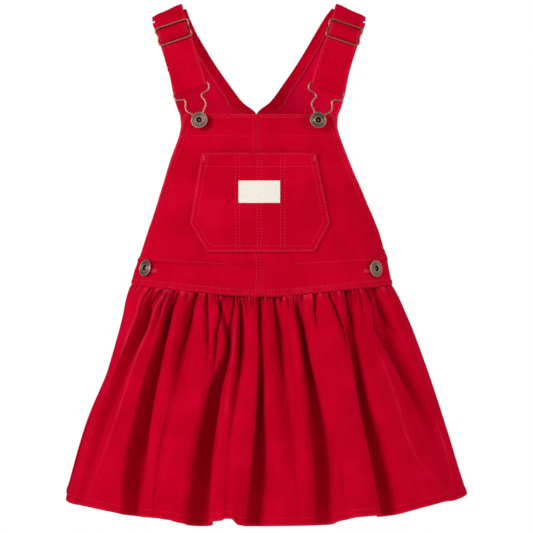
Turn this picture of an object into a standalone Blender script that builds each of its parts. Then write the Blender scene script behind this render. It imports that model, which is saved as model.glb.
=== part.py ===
"""A child's corduroy pinafore: a bib front on hooked straps over a gathered skirt.

Units are metres, +Z is up, the front faces -Y and +X is the viewer's right. The dress keeps the
hollow form of wear. The origin is midway between the undersides of the two straps, at the top
of the shoulders. Tables are in millimetres and degrees, with a named column for each value.
"""

import math

import bmesh
import bpy
import numpy as np
from mathutils import Vector

MM = 0.001

# ---------------------------------------------------------------- driving dimensions
CLOTH = 1.5 * MM  # wall of one thickness of corduroy
FACING = 1.2 * MM
LABEL = 1.0 * MM
STRAP = 2.0 * MM  # the strap is the same cloth, folded double and pressed
SEAM = 0.3 * MM  # gap between pieces that are sewn together
LAID_ON = 0.6 * MM  # gap between a panel and a piece that lies on it
HALF_SEAM = 0.15  # in the tables' millimetres
SKIRT_DROP = 0.65  # gap above the skirt's outer face; its inner face comes closer in the troughs
UNDERARM = -245.0  # heights, down from the shoulder
WAIST = -270.5
WAIST_DIP = 5.0  # the waist seam is this much lower at the centre front
FLANK_RAISE = 4.6  # and is drawn up by this much between there and the side seams
HEM_CENTRE, HEM_LEFT, HEM_RIGHT = -488.0, -487.0, -481.0
BIB_TOP = -100.0
VIEW_DISTANCE = 1800.0  # the fold table is read from this far away, in front of the garment

POCKET_TOP, POCKET_CORNER, POCKET_BOTTOM = -138.0, -204.0, -231.5
POCKET_HALF = {POCKET_TOP: 54.4, POCKET_CORNER: 66.7, POCKET_BOTTOM: 51.5}
LABEL_WIDTH, LABEL_HEIGHT, LABEL_TOP = 39.3, 20.8, -163.5

BUTTON_RADIUS, BUTTON_SHANK = 8.1, 2.1
BIB_BUTTON = (-56.2, -107.4)  # across, height of the left one
SIDE_BUTTON = {-1: (-112.2, -250.7), 1: (-109.1, -250.7)}  # as if each were on the left
NECK_FACING, NECK_FACING_ROWS = 9.0, 10  # its width, and how many rows of the back it spans
PLACKET_FRONT, PLACKET_BACK = 9, 3  # columns of the front and the back that it spans
WIRE = 0.85  # radius of the hook and slider wire
SLIDER_BAR = 0.95  # radius of the bar that the strap's end is folded over

# Horizontal sections of the body of the dress, from the bib top to the waist seam.
BODY = np.array([
    # height, half_width, front, back, power, lean
    (-100.0, 114.0, 52.0, 60.0, 2.4, 0.0),
    (-130.0, 115.0, 61.0, 61.5, 2.5, 0.2),
    (-160.0, 116.5, 67.0, 61.5, 2.6, 0.5),
    (-200.0, 119.5, 71.0, 61.5, 2.7, 1.2),
    (-230.0, 122.3, 70.5, 62.0, 2.8, 1.8),
    (-245.0, 124.0, 69.5, 62.5, 2.9, 3.5),
    (-260.0, 127.9, 68.5, 63.0, 3.0, 2.6),
    (-275.5, 131.5, 68.0, 64.0, 3.0, 2.5),
])

# The two armhole edges of the front, above the underarm. The right one is fuller, as it is worn.
FRONT_EDGE = np.array([
    # height, left_edge, right_edge
    (-100.0, 70.5, 70.5),
    (-103.0, 73.0, 73.0),
    (-110.0, 75.0, 75.3),
    (-117.0, 76.3, 77.0),
    (-147.0, 86.8, 87.8),
    (-184.0, 98.5, 103.0),
    (-216.0, 110.0, 116.0),
    (-236.0, 117.7, 121.8),
    (-240.5, 120.6, 122.7),
    (-243.5, 122.9, 123.2),
    (-245.0, 124.0, 124.0),
])

# The back above the underarm: its profile from the side, its two edges, and how far the point of
# the V and the seam below it lie to the left of the middle.
BACK = np.array([
    # height, depth, neck_edge, arm_edge, sway
    (-4.5, 15.0, 72.6, 105.6, 0.0),
    (-14.0, 30.0, 68.4, 103.0, 1.6),
    (-33.0, 46.0, 59.3, 98.0, 2.7),
    (-60.0, 55.0, 43.8, 91.0, 2.8),
    (-82.0, 59.0, 27.3, 87.0, 2.8),
    (-95.0, 60.2, 14.8, 83.5, 2.8),
    (-104.0, 60.6, 0.15, 80.2, 2.8),
    (-117.0, 61.0, 0.15, 79.6, 2.2),
    (-147.0, 61.5, 0.15, 87.5, 0.0),
    (-184.0, 61.5, 0.15, 99.0, 0.0),
    (-216.0, 61.8, 0.15, 110.5, 0.0),
    (-236.0, 62.2, 0.15, 118.6, 0.0),
    (-240.5, 62.3, 0.15, 121.2, 0.0),
    (-243.5, 62.4, 0.15, 122.9, 0.0),
    (-245.0, 62.5, 0.15, 124.0, 0.0),
])
BACK_HEIGHTS = [-4.5, -8, -14, -23, -33, -46, -60, -82, -95, -104, -114, -131, -147, -165, -184, -200,
                -216, -228, -236, -240.5, -243.5, UNDERARM, -258, WAIST]
SHOULDER_SLOPE = math.tan(math.radians(25))
SHOULDER_CENTRE = 90.8  # middle of the strap, out from the centre line
SLOPE_FADES_BY = -104.0

# Sections of the skirt at five levels down the cloth, from the waist seam to the hem.
SKIRT = np.array([
    # level, half_width, front, back, power, lean
    (0.00, 130.5, 67.0, 62.5, 3.0, 2.4),
    (0.22, 147.0, 78.0, 73.0, 2.7, 7.0),
    (0.45, 162.7, 89.0, 84.0, 2.5, 8.5),
    (0.70, 181.0, 100.0, 95.0, 2.4, 7.5),
    (1.00, 201.0, 110.0, 106.0, 2.3, 7.5),
])

# Every crest and trough of the front, left to right: where it is seen at each level, measured
# from the centre line, how far it stands out there, and how much longer its hem hangs. Where it
# is seen allows for how far it stands out.
FOLDS = np.array([
    # at0, at1, at2, at3, at4, out0, out1, out2, out3, out4, longer
    (-114, -131, -153, -172, -188, 1, 3, 4, 4, 3, -4),
    (-104, -117, -137, -158, -179, -3, -12, -9, -6, -3, -4),
    (-97, -113.5, -133.5, -154.5, -174, 2, 4, 6, 7, 7, -6),
    (-90, -103, -121, -136, -142, 2, 4, 6, 6, 6, -4),
    (-85, -93.5, -103.5, -114, -126, -4, -12, -18, -19, -15, -2),
    (-79, -87.5, -96, -105, -110, 2, 5, 9, 10, 9, -3),
    (-63, -71, -82, -97, -106, -4, -11, 2, 6, 8, -3),
    (-57, -64, -71, -83, -92, 2, 5, 9, 12, 11, -2),
    (-46, -38, -60, -73, -83, 2, 4, 10, 11, 10, 0),
    (-40, -30.5, -45, -54, -62, -4, -7, -17, -19, -18, 4),
    (-25, -24.5, -30, -36, -38, 2, 4, 8, 10, 10, -3),
    (-18, -17.5, -23, -29, -33, -4, -8, 1, 8, 9, -5),
    (-10, -9, -15, -22, -28, 2, 4, 9, 12, 12, -5),
    (-4, -3, -5.5, -11.5, -20, 2, 4, 8, 9, 9, 1),
    (2, 2, 1.5, -1, -7, -4, -4, -16, -19, -17, 3),
    (8, 9, 9, 17, 25, 1, 2, 3, 4, 5, 2),
    (17, 24, 31, 36, 40, -4, -11, -9, -1, 4, 2),
    (30, 38, 43, 45, 48, 2, 4, 5, 6, 6, 2),
    (37, 46, 55.5, 65, 67, -3, -11, -17, -18, -16, 3),
    (44, 53, 67, 80, 88, 2, 5, 9, 11, 10, -2),
    (62, 69, 79, 91, 102, 1, 6, 10, 12, 12, -4),
    (78, 82, 90, 102, 114, 2, 5, 9, 10, 10, -4),
    (88, 95, 101, 113.5, 130, -4, -9, -18, -18, -14, -1),
    (97, 104, 113, 133, 150, 2, 4, 5, 6, 6, -4),
    (104, 115, 136, 159, 187, 2, 4, 6, 7, 6, -7),
    (114, 127, 149, 173, 197, -3, -11, -7, -3, 3, -5),
    (125, 146, 166, 186, 204, 1, 3, 4, 4, 2, -4),
], float)
COLUMN = 13  # a column of mesh about this often across a panel of the body
MEAN_RADIUS = 95  # turns an angle of a body section into a distance across the cloth
STEPS_PER_FOLD = 3  # columns of mesh from each crest to the next trough
SKIRT_LEVELS = (0.0, 0.14, 0.28, 0.45, 0.63, 0.82, 1.0)

# The strap in its own plane, which runs from the slider's middle to the bib button's neck.
SLIDER_CENTRE = np.array([-82.4, -24.5, -22.0])
BUTTON_NECK = np.array([-56.2, -53.2, -107.4])
STRAP_ACROSS = np.array([0.95, -0.08, 0.30])  # from the outer edge to the inner one
FRAME_LIFT = 4.4  # the slider's frame stands this far in front of that plane
STRAP_FRONT = np.array([
    # down, lift, half_width
    (-9.6, 2.0, 14.9),
    (-7.4, 2.5, 14.6),
    (-5.8, 4.7, 14.5),
    (-4.2, 7.0, 14.5),
    (0.0, 9.4, 14.5),
    (4.2, 7.0, 14.5),
    (5.8, 4.7, 14.5),
    (7.4, 2.5, 14.6),
    (9.6, 2.0, 14.9),
    (18.0, 1.9, 16.0),
    (37.0, 2.2, 16.0),
    (55.3, 2.3, 16.0),
    (59.1, 1.7, 16.0),
    (60.7, 0.0, 16.0),
    (59.1, -1.7, 16.0),
    (55.3, -2.3, 16.0),
    (37.0, -2.2, 16.0),
    (18.0, -1.6, 15.6),
    (7.0, -0.4, 14.4),
    (1.2, 1.5, 13.6),
    (-2.0, 2.8, 13.6),
    (-2.6, 4.6, 13.6),
    (-1.4, 6.4, 13.6),
])
STRAP_OVER_SHOULDER = np.array([
    # across, depth, height, half_width of the left strap's middle
    (-91.8, 14.4, -3.6, 15.6),
    (-91.3, 7.0, 0.2, 15.8),
    (-90.8, 0.0, 1.0, 16.0),
    (-89.6, -7.5, -0.6, 16.0),
])
SHOULDER_ACROSS = np.array([1.0, 0.0, SHOULDER_SLOPE])

# Half of the hook's wire, from the middle of its top run to the bottom of its crook.
HOOK = np.array([
    # across, down from the button's centre
    (0.0, -36.4),
    (14.4, -36.4),
    (17.0, -35.5),
    (18.0, -32.4),
    (16.2, -28.6),
    (12.0, -27.3),
    (9.0, -26.2),
    (8.2, -23.8),
    (9.4, -20.8),
    (10.2, -17.4),
    (9.3, -14.0),
    (6.8, -11.0),
    (4.6, -7.6),
    (3.7, -3.6),
    (3.7, 0.0),
    (2.6, 2.7),
    (0.0, 3.8),
])
SLIDER = np.array([
    # across, down: a quarter and its mirror images make the bent frame
    (0.0, 9.0),
    (7.0, 9.0),
    (12.6, 9.0),
    (15.4, 8.5),
    (16.7, 7.1),
    (16.8, 5.0),
    (16.0, 2.2),
    (15.5, 0.0),
])

# ---------------------------------------------------------------- curves and sections


def smooth(knots, values, at):
    """Monotone cubic through the knots: its slope is zero at every crest and trough."""
    knots, values, at = np.asarray(knots, float), np.asarray(values, float), np.asarray(at, float)
    if knots[0] > knots[-1]:
        knots, values = knots[::-1], values[::-1]
    flat = values.reshape(len(knots), -1)
    gap = np.diff(knots)[:, None]
    secant = np.diff(flat, axis=0) / gap
    slope = np.zeros_like(flat)
    slope[0], slope[-1] = secant[0], secant[-1]
    product = secant[:-1] * secant[1:]
    total = np.where(product > 0, secant[:-1] + secant[1:], 1)
    slope[1:-1] = np.where(product > 0, 2 * product / total, 0)
    k = np.clip(np.searchsorted(knots, at, "right") - 1, 0, len(knots) - 2)
    t = ((at - knots[k]) / gap[k, 0])[:, None]
    t = np.clip(t, 0, 1)
    near, far = (1 + 2 * t) * (1 - t) ** 2, t**2 * (3 - 2 * t)
    lead, trail = t * (1 - t) ** 2 * gap[k], t**2 * (t - 1) * gap[k]
    out = near * flat[k] + far * flat[k + 1] + lead * slope[k] + trail * slope[k + 1]
    return out.reshape((len(at),) + values.shape[1:])


def body_section(height):
    """Half width, front and back depth, power and lean of the body at these heights."""
    return smooth(BODY[:, 0], BODY[:, 1:], np.atleast_1d(height)).T


def on_section(angle, half_width, depth, power):
    """Across and forward on a superellipse, and the outward direction there."""
    s, c = np.sin(angle), np.cos(angle)
    scale = (np.abs(s) ** power + np.abs(c) ** power) ** (-1 / power)
    across, forward = half_width * scale * s, depth * scale * c
    out = np.stack([
        np.sign(s) * np.abs(across / half_width) ** (power - 1) / half_width,
        np.sign(c) * np.abs(forward / depth) ** (power - 1) / depth,
    ])
    return across, forward, out / np.hypot(*out)


def angle_across(across, half_width, depth, power):
    """The section's angle at which it is this far across, short of the side seam's gap."""
    share = np.clip(np.abs(across) / half_width, 0, 1)
    angle = np.arctan2(share, (1 - share**power) ** (1 / power))
    return np.sign(across) * np.minimum(angle, side_angle(depth))


def side_angle(depth):
    """Where a panel ends at the side seam, half the gap from its neighbour."""
    return math.pi / 2 - HALF_SEAM / depth


def waist_drop(angle):
    """How far the waist seam hangs below its height at the side seams."""
    share = np.cos(angle) ** 2
    return WAIST_DIP * share - FLANK_RAISE * 4 * share * (1 - share)


# ---------------------------------------------------------------- surfaces of the pieces


def front_surface(heights, first, last, columns=None):
    """Grid of points on the front. Each row runs between two distances from the centre line."""
    half, front, _, power, lean = body_section(heights)
    first, last = (angle_across(edge, half, front, power) for edge in (first, last))
    widest = np.abs(last - first).max() * MEAN_RADIUS
    share = np.linspace(0, 1, columns or 1 + max(3, round(widest / COLUMN)))
    angle = first[:, None] + (last - first)[:, None] * share
    half, front, power, lean = (values[:, None] for values in (half, front, power, lean))
    across, forward, _ = on_section(angle, half, front, power)
    low = np.clip((UNDERARM - heights) / (UNDERARM - WAIST), 0, 1)[:, None]
    height = heights[:, None] - low * waist_drop(angle)
    return np.stack([across + lean, -forward, height], -1) * MM


def front_half(side):
    """The left (-1) or right (1) half of the front, from the bib top to the waist seam."""
    heights = np.array([-100, -103, -110, -117, -131, -147, -165, -184, -200, -216, -228,
                        -236, -240.5, -243.5, -245, -258, WAIST])
    half = body_section(heights)[0]
    edge = FRONT_EDGE[:, 1 if side < 0 else 2]
    edge = smooth(FRONT_EDGE[:, 0], edge, np.maximum(heights, UNDERARM))
    edge = np.where(heights <= UNDERARM, half, edge)
    seam = np.full_like(edge, HALF_SEAM)
    return front_surface(heights, *((-edge, -seam) if side < 0 else (seam, edge)))


def back_half(side):
    """The left or right half of the back. Above the underarm its side profile bends forward, and
    its shoulder slopes down to the arm. Its first columns follow the facing along the neck."""
    heights = np.array(BACK_HEIGHTS)
    above = np.maximum(heights, UNDERARM)
    depth, neck, arm, sway = smooth(BACK[:, 0], BACK[:, 1:], above).T
    neck = neck - side * sway
    half, _, low_depth, power, lean = body_section(np.minimum(heights, BIB_TOP))
    low = heights <= UNDERARM
    depth, arm = np.where(low, low_depth, depth), np.where(low, half, arm)
    neck_end, seam, arm_end = (angle_across(edge, half, depth, power)[:, None]
                               for edge in (neck, neck + NECK_FACING, arm))
    angle = np.concatenate([neck_end + (seam - neck_end) * [0, 0.5],
                            seam + (arm_end - seam) * np.linspace(0, 1, 8)], axis=1)
    half, depth, power = (values[:, None] for values in (half, depth, power))
    across, backward, _ = on_section(angle, half, depth, power)
    fade = np.clip(1 - heights / SLOPE_FADES_BY, 0, 1)[:, None] ** 0.7
    height = heights[:, None] + SHOULDER_SLOPE * (SHOULDER_CENTRE - across) * fade
    grid = np.stack([side * across + lean[:, None], backward, height], -1) * MM
    return grid[:, ::-1] if side > 0 else grid


def neck_facing(side):
    """The strip on the inside of the back, along the V of the neck, made from its points."""
    strip = lifted(back_half(side), -CLOTH - LAID_ON)[:NECK_FACING_ROWS]
    return strip[:, -3:] if side > 0 else strip[:, :3]


def placket(side):
    """The button stand that carries the side button. It lies behind the front and is sewn to the
    back, so it is made from the lowest rows of both, moved in."""
    front, back = (lifted(half(side), -CLOTH - LAID_ON)[-3:] for half in (front_half, back_half))
    if side < 0:
        grid = np.concatenate([back[:, -PLACKET_BACK:-1], front[:, :PLACKET_FRONT]], axis=1)
    else:
        grid = np.concatenate([front[:, -PLACKET_FRONT:], back[:, 1:PLACKET_BACK]], axis=1)
    top, middle, bottom = grid
    return np.stack([top + (middle - top) * 0.15, middle, bottom + (middle - bottom) * 0.12])


def pocket_surface():
    heights = np.array([POCKET_TOP, -160, -182, POCKET_CORNER, -218, POCKET_BOTTOM])
    half = np.interp(-heights, [-h for h in POCKET_HALF], list(POCKET_HALF.values()))
    return lifted(front_surface(heights, -half, half), CLOTH + LAID_ON)


def label_surface():
    heights = LABEL_TOP - np.linspace(0, LABEL_HEIGHT, 3)
    half = np.full(3, LABEL_WIDTH / 2)
    return lifted(front_surface(heights, -half, half), 2 * CLOTH + LAID_ON)


def skirt_surface(back=False):
    """The gathered skirt's front, or the back, whose folds are the front's turned about."""
    depth_column = 3 if back else 2
    sections = SKIRT[:, [1, depth_column, 4, 5]]
    samples = np.radians(np.linspace(-90, 90, 361))
    angles = []
    for row, seen, out in zip(sections, FOLDS[:, :5].T, FOLDS[:, 5:10, None].swapaxes(0, 1)):
        across, forward, outward = on_section(samples, *row[:3])
        across = across + (0 if back else row[3]) + out * outward[0]
        near = 1 - (forward + out * outward[1]) / VIEW_DISTANCE
        angles.append([np.interp(*fold, samples) for fold in zip(seen, across / near)])
    sides = side_angle(sections[:, 1])[None]
    angles = np.concatenate([-sides, np.array(angles).T, sides])
    rest = np.zeros((1, 5))
    out = np.concatenate([rest, FOLDS[:, 5:10], rest])
    longer = np.concatenate([[0], FOLDS[:, 10], [0]])

    knots = np.arange(len(angles))
    columns = np.linspace(0, knots[-1], STEPS_PER_FOLD * knots[-1] + 1)
    levels = np.array(SKIRT_LEVELS)
    angle = smooth(SKIRT[:, 0], smooth(knots, angles, columns).T, levels)
    out = smooth(SKIRT[:, 0], smooth(knots, out, columns).T, levels)
    longer = smooth(knots, longer, columns)
    half, depth, power, lean = (smooth(SKIRT[:, 0], c, levels)[:, None] for c in sections.T)
    across, forward, outward = on_section(angle, half, depth, power)

    turn = -np.sin(angle) if back else np.sin(angle)
    side_hem = np.where(turn < 0, HEM_LEFT, HEM_RIGHT)
    waist = WAIST - SKIRT_DROP
    if not back:
        waist = waist - waist_drop(angle)
    hem = HEM_CENTRE + (side_hem - HEM_CENTRE) * turn**2 - longer
    flare = (SKIRT[-1, depth_column] - SKIRT[0, depth_column]) / (WAIST - HEM_CENTRE)
    height = waist + (hem - waist) * levels[:, None] + levels[:, None] * flare * out
    grid = np.stack([across + out * outward[0] + lean, -forward - out * outward[1], height], -1)
    if back:
        grid = grid * (-1, -1, 1) + np.stack([2 * lean, 0 * lean, 0 * lean], -1)
    return grid * MM


# ---------------------------------------------------------------- making objects


def material(name, colour, roughness, metallic=0.0):
    made = bpy.data.materials.new(name)
    made.use_nodes = True
    shader = made.node_tree.nodes["Principled BSDF"]
    shader.inputs["Base Color"].default_value = (*colour, 1)
    shader.inputs["Roughness"].default_value = roughness
    shader.inputs["Metallic"].default_value = metallic
    return made


def add_object(name, data, finish):
    made = bpy.data.objects.new(name, data)
    data.materials.append(finish)
    bpy.context.scene.collection.objects.link(made)
    return made


def outward_of(grid):
    """Unit normals of a grid whose rows run down and columns run to the right."""
    along, across = (np.gradient(grid, axis=axis, edge_order=2) for axis in (0, 1))
    return unit(np.cross(along, across))


def lifted(grid, distance):
    return grid + outward_of(grid) * distance


def cloth_panel(name, grid, finish, wall=CLOTH):
    """A wall of cloth: the grid is its outer face, and the inner face lies one wall behind."""
    rows, columns = grid.shape[:2]
    outer = np.arange(rows * columns).reshape(rows, columns)
    inner = outer + rows * columns
    rim = np.concatenate([outer[0], outer[1:, -1], outer[-1, -2::-1], outer[-2:0:-1, 0]])
    following = np.roll(rim, -1)
    faces = [
        np.stack([outer[:-1, :-1], outer[1:, :-1], outer[1:, 1:], outer[:-1, 1:]], -1),
        np.stack([inner[:-1, :-1], inner[:-1, 1:], inner[1:, 1:], inner[1:, :-1]], -1),
        np.stack([rim, following, following + rows * columns, rim + rows * columns], -1),
    ]
    points = np.stack([grid, lifted(grid, -wall)])
    mesh = bpy.data.meshes.new(name)
    quads = np.concatenate([group.reshape(-1, 4) for group in faces])
    mesh.from_pydata(points.reshape(-1, 3).tolist(), [], quads.tolist())
    mesh.shade_smooth()
    mesh.set_sharp_from_angle(angle=math.radians(60))
    return add_object(name, mesh, finish)


def unit(vectors):
    return vectors / np.linalg.norm(vectors, axis=-1, keepdims=True)


def strap_plane(side):
    """The strap plane's origin and its directions across, down and out, for one side."""
    down = unit(BUTTON_NECK - SLIDER_CENTRE)
    across = unit(STRAP_ACROSS - STRAP_ACROSS.dot(down) * down)
    out = np.cross(down, across)
    return SLIDER_CENTRE * mirror(side), np.array([across, down, out]) * mirror(side)


def mirror(side):
    """Signs that turn the left side's points into this side's."""
    return np.array([-side, 1, 1])


def in_plane(side, places):
    """World points, in metres, of (across, down, lift) places in the strap plane."""
    origin, directions = strap_plane(side)
    return (origin + np.asarray(places) @ directions) * MM


def strap(side, finish):
    """One ribbon: from the back seam over the shoulder, through the slider, down to the hook,
    round its wire and up again to the slider's bar, which its end is folded over."""
    over = STRAP_OVER_SHOULDER
    down, lift, _ = STRAP_FRONT.T
    front = in_plane(side, np.stack([0 * down, down, lift], 1))
    path = np.concatenate([over[:, :3] * mirror(side) * MM, front])
    half = np.concatenate([over[:, 3], STRAP_FRONT[:, 2]]) * MM
    spread = np.concatenate([np.tile(unit(SHOULDER_ACROSS) * mirror(side), (len(over), 1)),
                             np.tile(strap_plane(side)[1][0], (len(front), 1))])
    knots = np.concatenate([[0], np.cumsum(np.linalg.norm(np.diff(path, axis=0), axis=1))])
    stations = resampled(knots)
    path = catmull(knots, path, stations)
    spread = catmull(knots, spread, stations)
    half = np.interp(stations, knots, half)[:, None]
    ahead = unit(np.gradient(path, axis=0))
    spread = unit(spread - (spread * ahead).sum(1, keepdims=True) * ahead)
    edge, rise = spread * half, np.cross(ahead, spread) * STRAP / 2
    ring = np.stack([path - edge + rise, path + edge + rise, path + edge - rise,
                     path - edge - rise], 1)
    return swept("strap_" + SIDE_NAMES[side], ring, finish)


def resampled(knots):
    """Each knot and one station between each pair of them."""
    return np.interp(np.linspace(0, len(knots) - 1, 2 * len(knots) - 1),
                     np.arange(len(knots)), knots)


def catmull(knots, values, at):
    """Smooth curve through the values, with the slope at a knot from its two neighbours."""
    slope = np.gradient(values, knots, axis=0)
    k = np.clip(np.searchsorted(knots, at, "right") - 1, 0, len(knots) - 2)
    gap = (knots[k + 1] - knots[k])[:, None]
    t = (at - knots[k])[:, None] / gap
    near, far = (1 + 2 * t) * (1 - t) ** 2, t**2 * (3 - 2 * t)
    lead, trail = t * (1 - t) ** 2 * gap, t**2 * (t - 1) * gap
    return near * values[k] + far * values[k + 1] + lead * slope[k] + trail * slope[k + 1]


def swept(name, rings, finish):
    """A closed solid from rings of corners, one after another, with its two ends filled."""
    count, corners = rings.shape[:2]
    index = np.arange(count * corners).reshape(count, corners)
    beside = np.roll(index, -1, axis=1)
    faces = np.stack([index[:-1], beside[:-1], beside[1:], index[1:]], -1).reshape(-1, 4)
    mesh = bpy.data.meshes.new(name)
    ends = [index[0, ::-1].tolist(), index[-1].tolist()]
    mesh.from_pydata(rings.reshape(-1, 3).tolist(), [], faces.tolist() + ends)
    fix = bmesh.new()
    fix.from_mesh(mesh)
    bmesh.ops.recalc_face_normals(fix, faces=fix.faces)
    fix.to_mesh(mesh)
    fix.free()
    return add_object(name, mesh, finish)


def closed_wire(name, points, finish):
    """A ring of round wire through these points."""
    curve = bpy.data.curves.new(name, "CURVE")
    curve.dimensions = "3D"
    curve.bevel_depth = WIRE * MM
    curve.bevel_resolution = 2
    spline = curve.splines.new("POLY")
    spline.points.add(len(points) - 1)
    for point, place in zip(spline.points, points):
        point.co = (*place, 1)
    spline.use_cyclic_u = True
    return add_object(name, curve, finish)


def round_loop(corners, count):
    """A smooth closed loop through the corners, as evenly spaced points."""
    lead = 3
    ring = np.concatenate([corners[-lead:], corners, corners[: lead + 1]])
    knots = np.concatenate([[0], np.cumsum(np.linalg.norm(np.diff(ring, axis=0), axis=1))])
    start, end = knots[lead], knots[lead + len(corners)]
    return catmull(knots, ring, np.linspace(start, end, count, endpoint=False))


def hook(side, finish):
    reach = np.linalg.norm(BUTTON_NECK - SLIDER_CENTRE)
    loop = np.concatenate([HOOK, HOOK[-2:0:-1] * (-1, 1)])
    across, down = round_loop(loop, 68).T
    points = in_plane(side, np.stack([across, reach + down, 0 * down], 1))
    return closed_wire("hook_" + SIDE_NAMES[side], points, finish)


def slider(side, finish):
    """The bent wire frame, pinched where the bar is clamped across it, and that bar."""
    loop = np.concatenate([SLIDER, SLIDER[-2:0:-1] * (1, -1), SLIDER[:-1] * (-1, -1),
                           SLIDER[:0:-1] * (-1, 1)])
    across, down = round_loop(loop, 44).T
    points = in_plane(side, np.stack([across, down, 0 * down + FRAME_LIFT], 1))
    closed_wire("slider_" + SIDE_NAMES[side], points, finish)
    reach = SLIDER[-1, 0] - WIRE - 2 * HALF_SEAM
    turn = np.linspace(0, 2 * math.pi, 8, endpoint=False)
    circle = SLIDER_BAR * np.stack([0 * turn, np.cos(turn), np.sin(turn)], 1)
    rings = [in_plane(side, circle + (end, 0, FRAME_LIFT)) for end in (-reach, reach)]
    return swept("slider_bar_" + SIDE_NAMES[side], np.array(rings), finish)


def button(name, seat, out, shank_length, finish):
    """A turned jeans button: a neck, a dished head with a raised rim and a hole in the middle."""
    head = shank_length
    profile = [
        (0, 0), (BUTTON_SHANK + 0.9, 0), (BUTTON_SHANK, 0.7), (BUTTON_SHANK, head),
        (BUTTON_RADIUS - 0.7, head + 0.2), (BUTTON_RADIUS, head + 0.9),
        (BUTTON_RADIUS - 0.6, head + 1.9), (BUTTON_RADIUS - 1.6, head + 1.5),
        (4.2, head + 2.4), (2.9, head + 2.3), (2.2, head + 1.2), (0, head + 1.1),
    ]
    made = bmesh.new()
    points = [made.verts.new((radius * MM, 0, rise * MM)) for radius, rise in profile]
    edges = [made.edges.new(pair) for pair in zip(points, points[1:])]
    bmesh.ops.spin(made, geom=points + edges, axis=(0, 0, 1), cent=(0, 0, 0), steps=16,
                   angle=2 * math.pi, use_merge=True)
    bmesh.ops.remove_doubles(made, verts=made.verts, dist=1e-6)
    bmesh.ops.recalc_face_normals(made, faces=made.faces)
    mesh = bpy.data.meshes.new(name)
    made.to_mesh(mesh)
    made.free()
    mesh.shade_smooth()
    placed = add_object(name, mesh, finish)
    placed.rotation_mode = "QUATERNION"
    placed.rotation_quaternion = Vector(out).to_track_quat("Z", "Y")
    placed.location = seat
    return placed


def front_place(side, place):
    """A point on the front's outer face and the outward direction there."""
    across, height = -side * place[0], place[1]
    heights = np.array([height + 1, height, height - 1])
    patch = front_surface(heights, np.full(3, across - 1), np.full(3, across + 1), columns=3)
    return Vector(patch[1, 1]), Vector(outward_of(patch)[1, 1])


def cut_button_eye(panel, side):
    """The round end of the side buttonhole, which the button's neck stands in."""
    point, out = front_place(side, SIDE_BUTTON[side])
    radius = (BUTTON_SHANK + 1.3) * MM
    cutter = bmesh.new()
    bmesh.ops.create_cone(cutter, cap_ends=True, segments=12, radius1=radius, radius2=radius,
                          depth=5 * MM)
    mesh = bpy.data.meshes.new("button_eye_cutter")
    cutter.to_mesh(mesh)
    cutter.free()
    made = bpy.data.objects.new("button_eye_cutter_" + SIDE_NAMES[side], mesh)
    bpy.context.scene.collection.objects.link(made)
    made.rotation_mode = "QUATERNION"
    made.rotation_quaternion = out.to_track_quat("Z", "Y")
    made.location = point
    made.hide_render = True
    made.display_type = "WIRE"
    cut = panel.modifiers.new("button_eye", "BOOLEAN")
    cut.operation = "DIFFERENCE"
    cut.object = made


SIDE_NAMES = {-1: "left", 1: "right"}


def main():
    for old in list(bpy.data.objects):
        bpy.data.objects.remove(old, do_unlink=True)
    corduroy = material("red cotton corduroy", (0.56, 0.0, 0.012), 0.85)
    woven = material("cream woven label", (0.84, 0.80, 0.70), 0.8)
    copper = material("antique copper", (0.30, 0.19, 0.14), 0.35, 1.0)

    for side, name in SIDE_NAMES.items():
        panel = cloth_panel("front_" + name, front_half(side), corduroy)
        cut_button_eye(panel, side)
        cloth_panel("back_" + name, back_half(side), corduroy)
        cloth_panel("neck_facing_" + name, neck_facing(side), corduroy, FACING)
        cloth_panel("placket_" + name, placket(side), corduroy)
        strap(side, corduroy)
        slider(side, copper)
        hook(side, copper)
        seat, out = front_place(side, BIB_BUTTON)
        button("bib_button_" + name, seat + out * SEAM, out, 4.6, copper)
        seat, out = front_place(side, SIDE_BUTTON[side])
        button("side_button_" + name, seat - out * (CLOTH + LAID_ON - SEAM), out, 3.4, copper)
    cloth_panel("pocket", pocket_surface(), corduroy)
    cloth_panel("label", label_surface(), woven, LABEL)
    cloth_panel("skirt_front", skirt_surface(), corduroy)
    cloth_panel("skirt_back", skirt_surface(back=True), corduroy)


main()
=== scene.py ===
# %% [markdown]
# # A child's corduroy pinafore, filled out as if it were worn
# The real dress is cut from fine red corduroy: a bib front in two halves, a back whose shoulders
# run up into straps, and a skirt gathered into the waist seam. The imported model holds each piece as
# a plain wall of cloth in its true place. This file puts the looks on it: every piece is worked out
# again as a fine surface on the same sections, and gets the puckers, gathers, stitches and nap that
# the plain wall leaves out.

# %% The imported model
import math
import bpy
import numpy as np
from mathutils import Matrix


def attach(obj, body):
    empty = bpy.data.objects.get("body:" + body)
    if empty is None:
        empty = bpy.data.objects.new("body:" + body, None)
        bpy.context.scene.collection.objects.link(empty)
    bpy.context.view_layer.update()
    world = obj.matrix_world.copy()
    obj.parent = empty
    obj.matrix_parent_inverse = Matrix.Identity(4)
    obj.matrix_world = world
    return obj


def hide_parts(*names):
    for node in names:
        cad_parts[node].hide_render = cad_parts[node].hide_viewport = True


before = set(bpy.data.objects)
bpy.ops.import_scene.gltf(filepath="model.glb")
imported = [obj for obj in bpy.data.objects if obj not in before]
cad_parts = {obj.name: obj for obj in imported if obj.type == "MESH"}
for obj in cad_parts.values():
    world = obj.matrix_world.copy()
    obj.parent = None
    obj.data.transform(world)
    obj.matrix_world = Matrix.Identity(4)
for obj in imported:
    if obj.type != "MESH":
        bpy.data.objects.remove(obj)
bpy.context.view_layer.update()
MM = 0.001
SIDES = {"left": -1, "right": 1}

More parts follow.
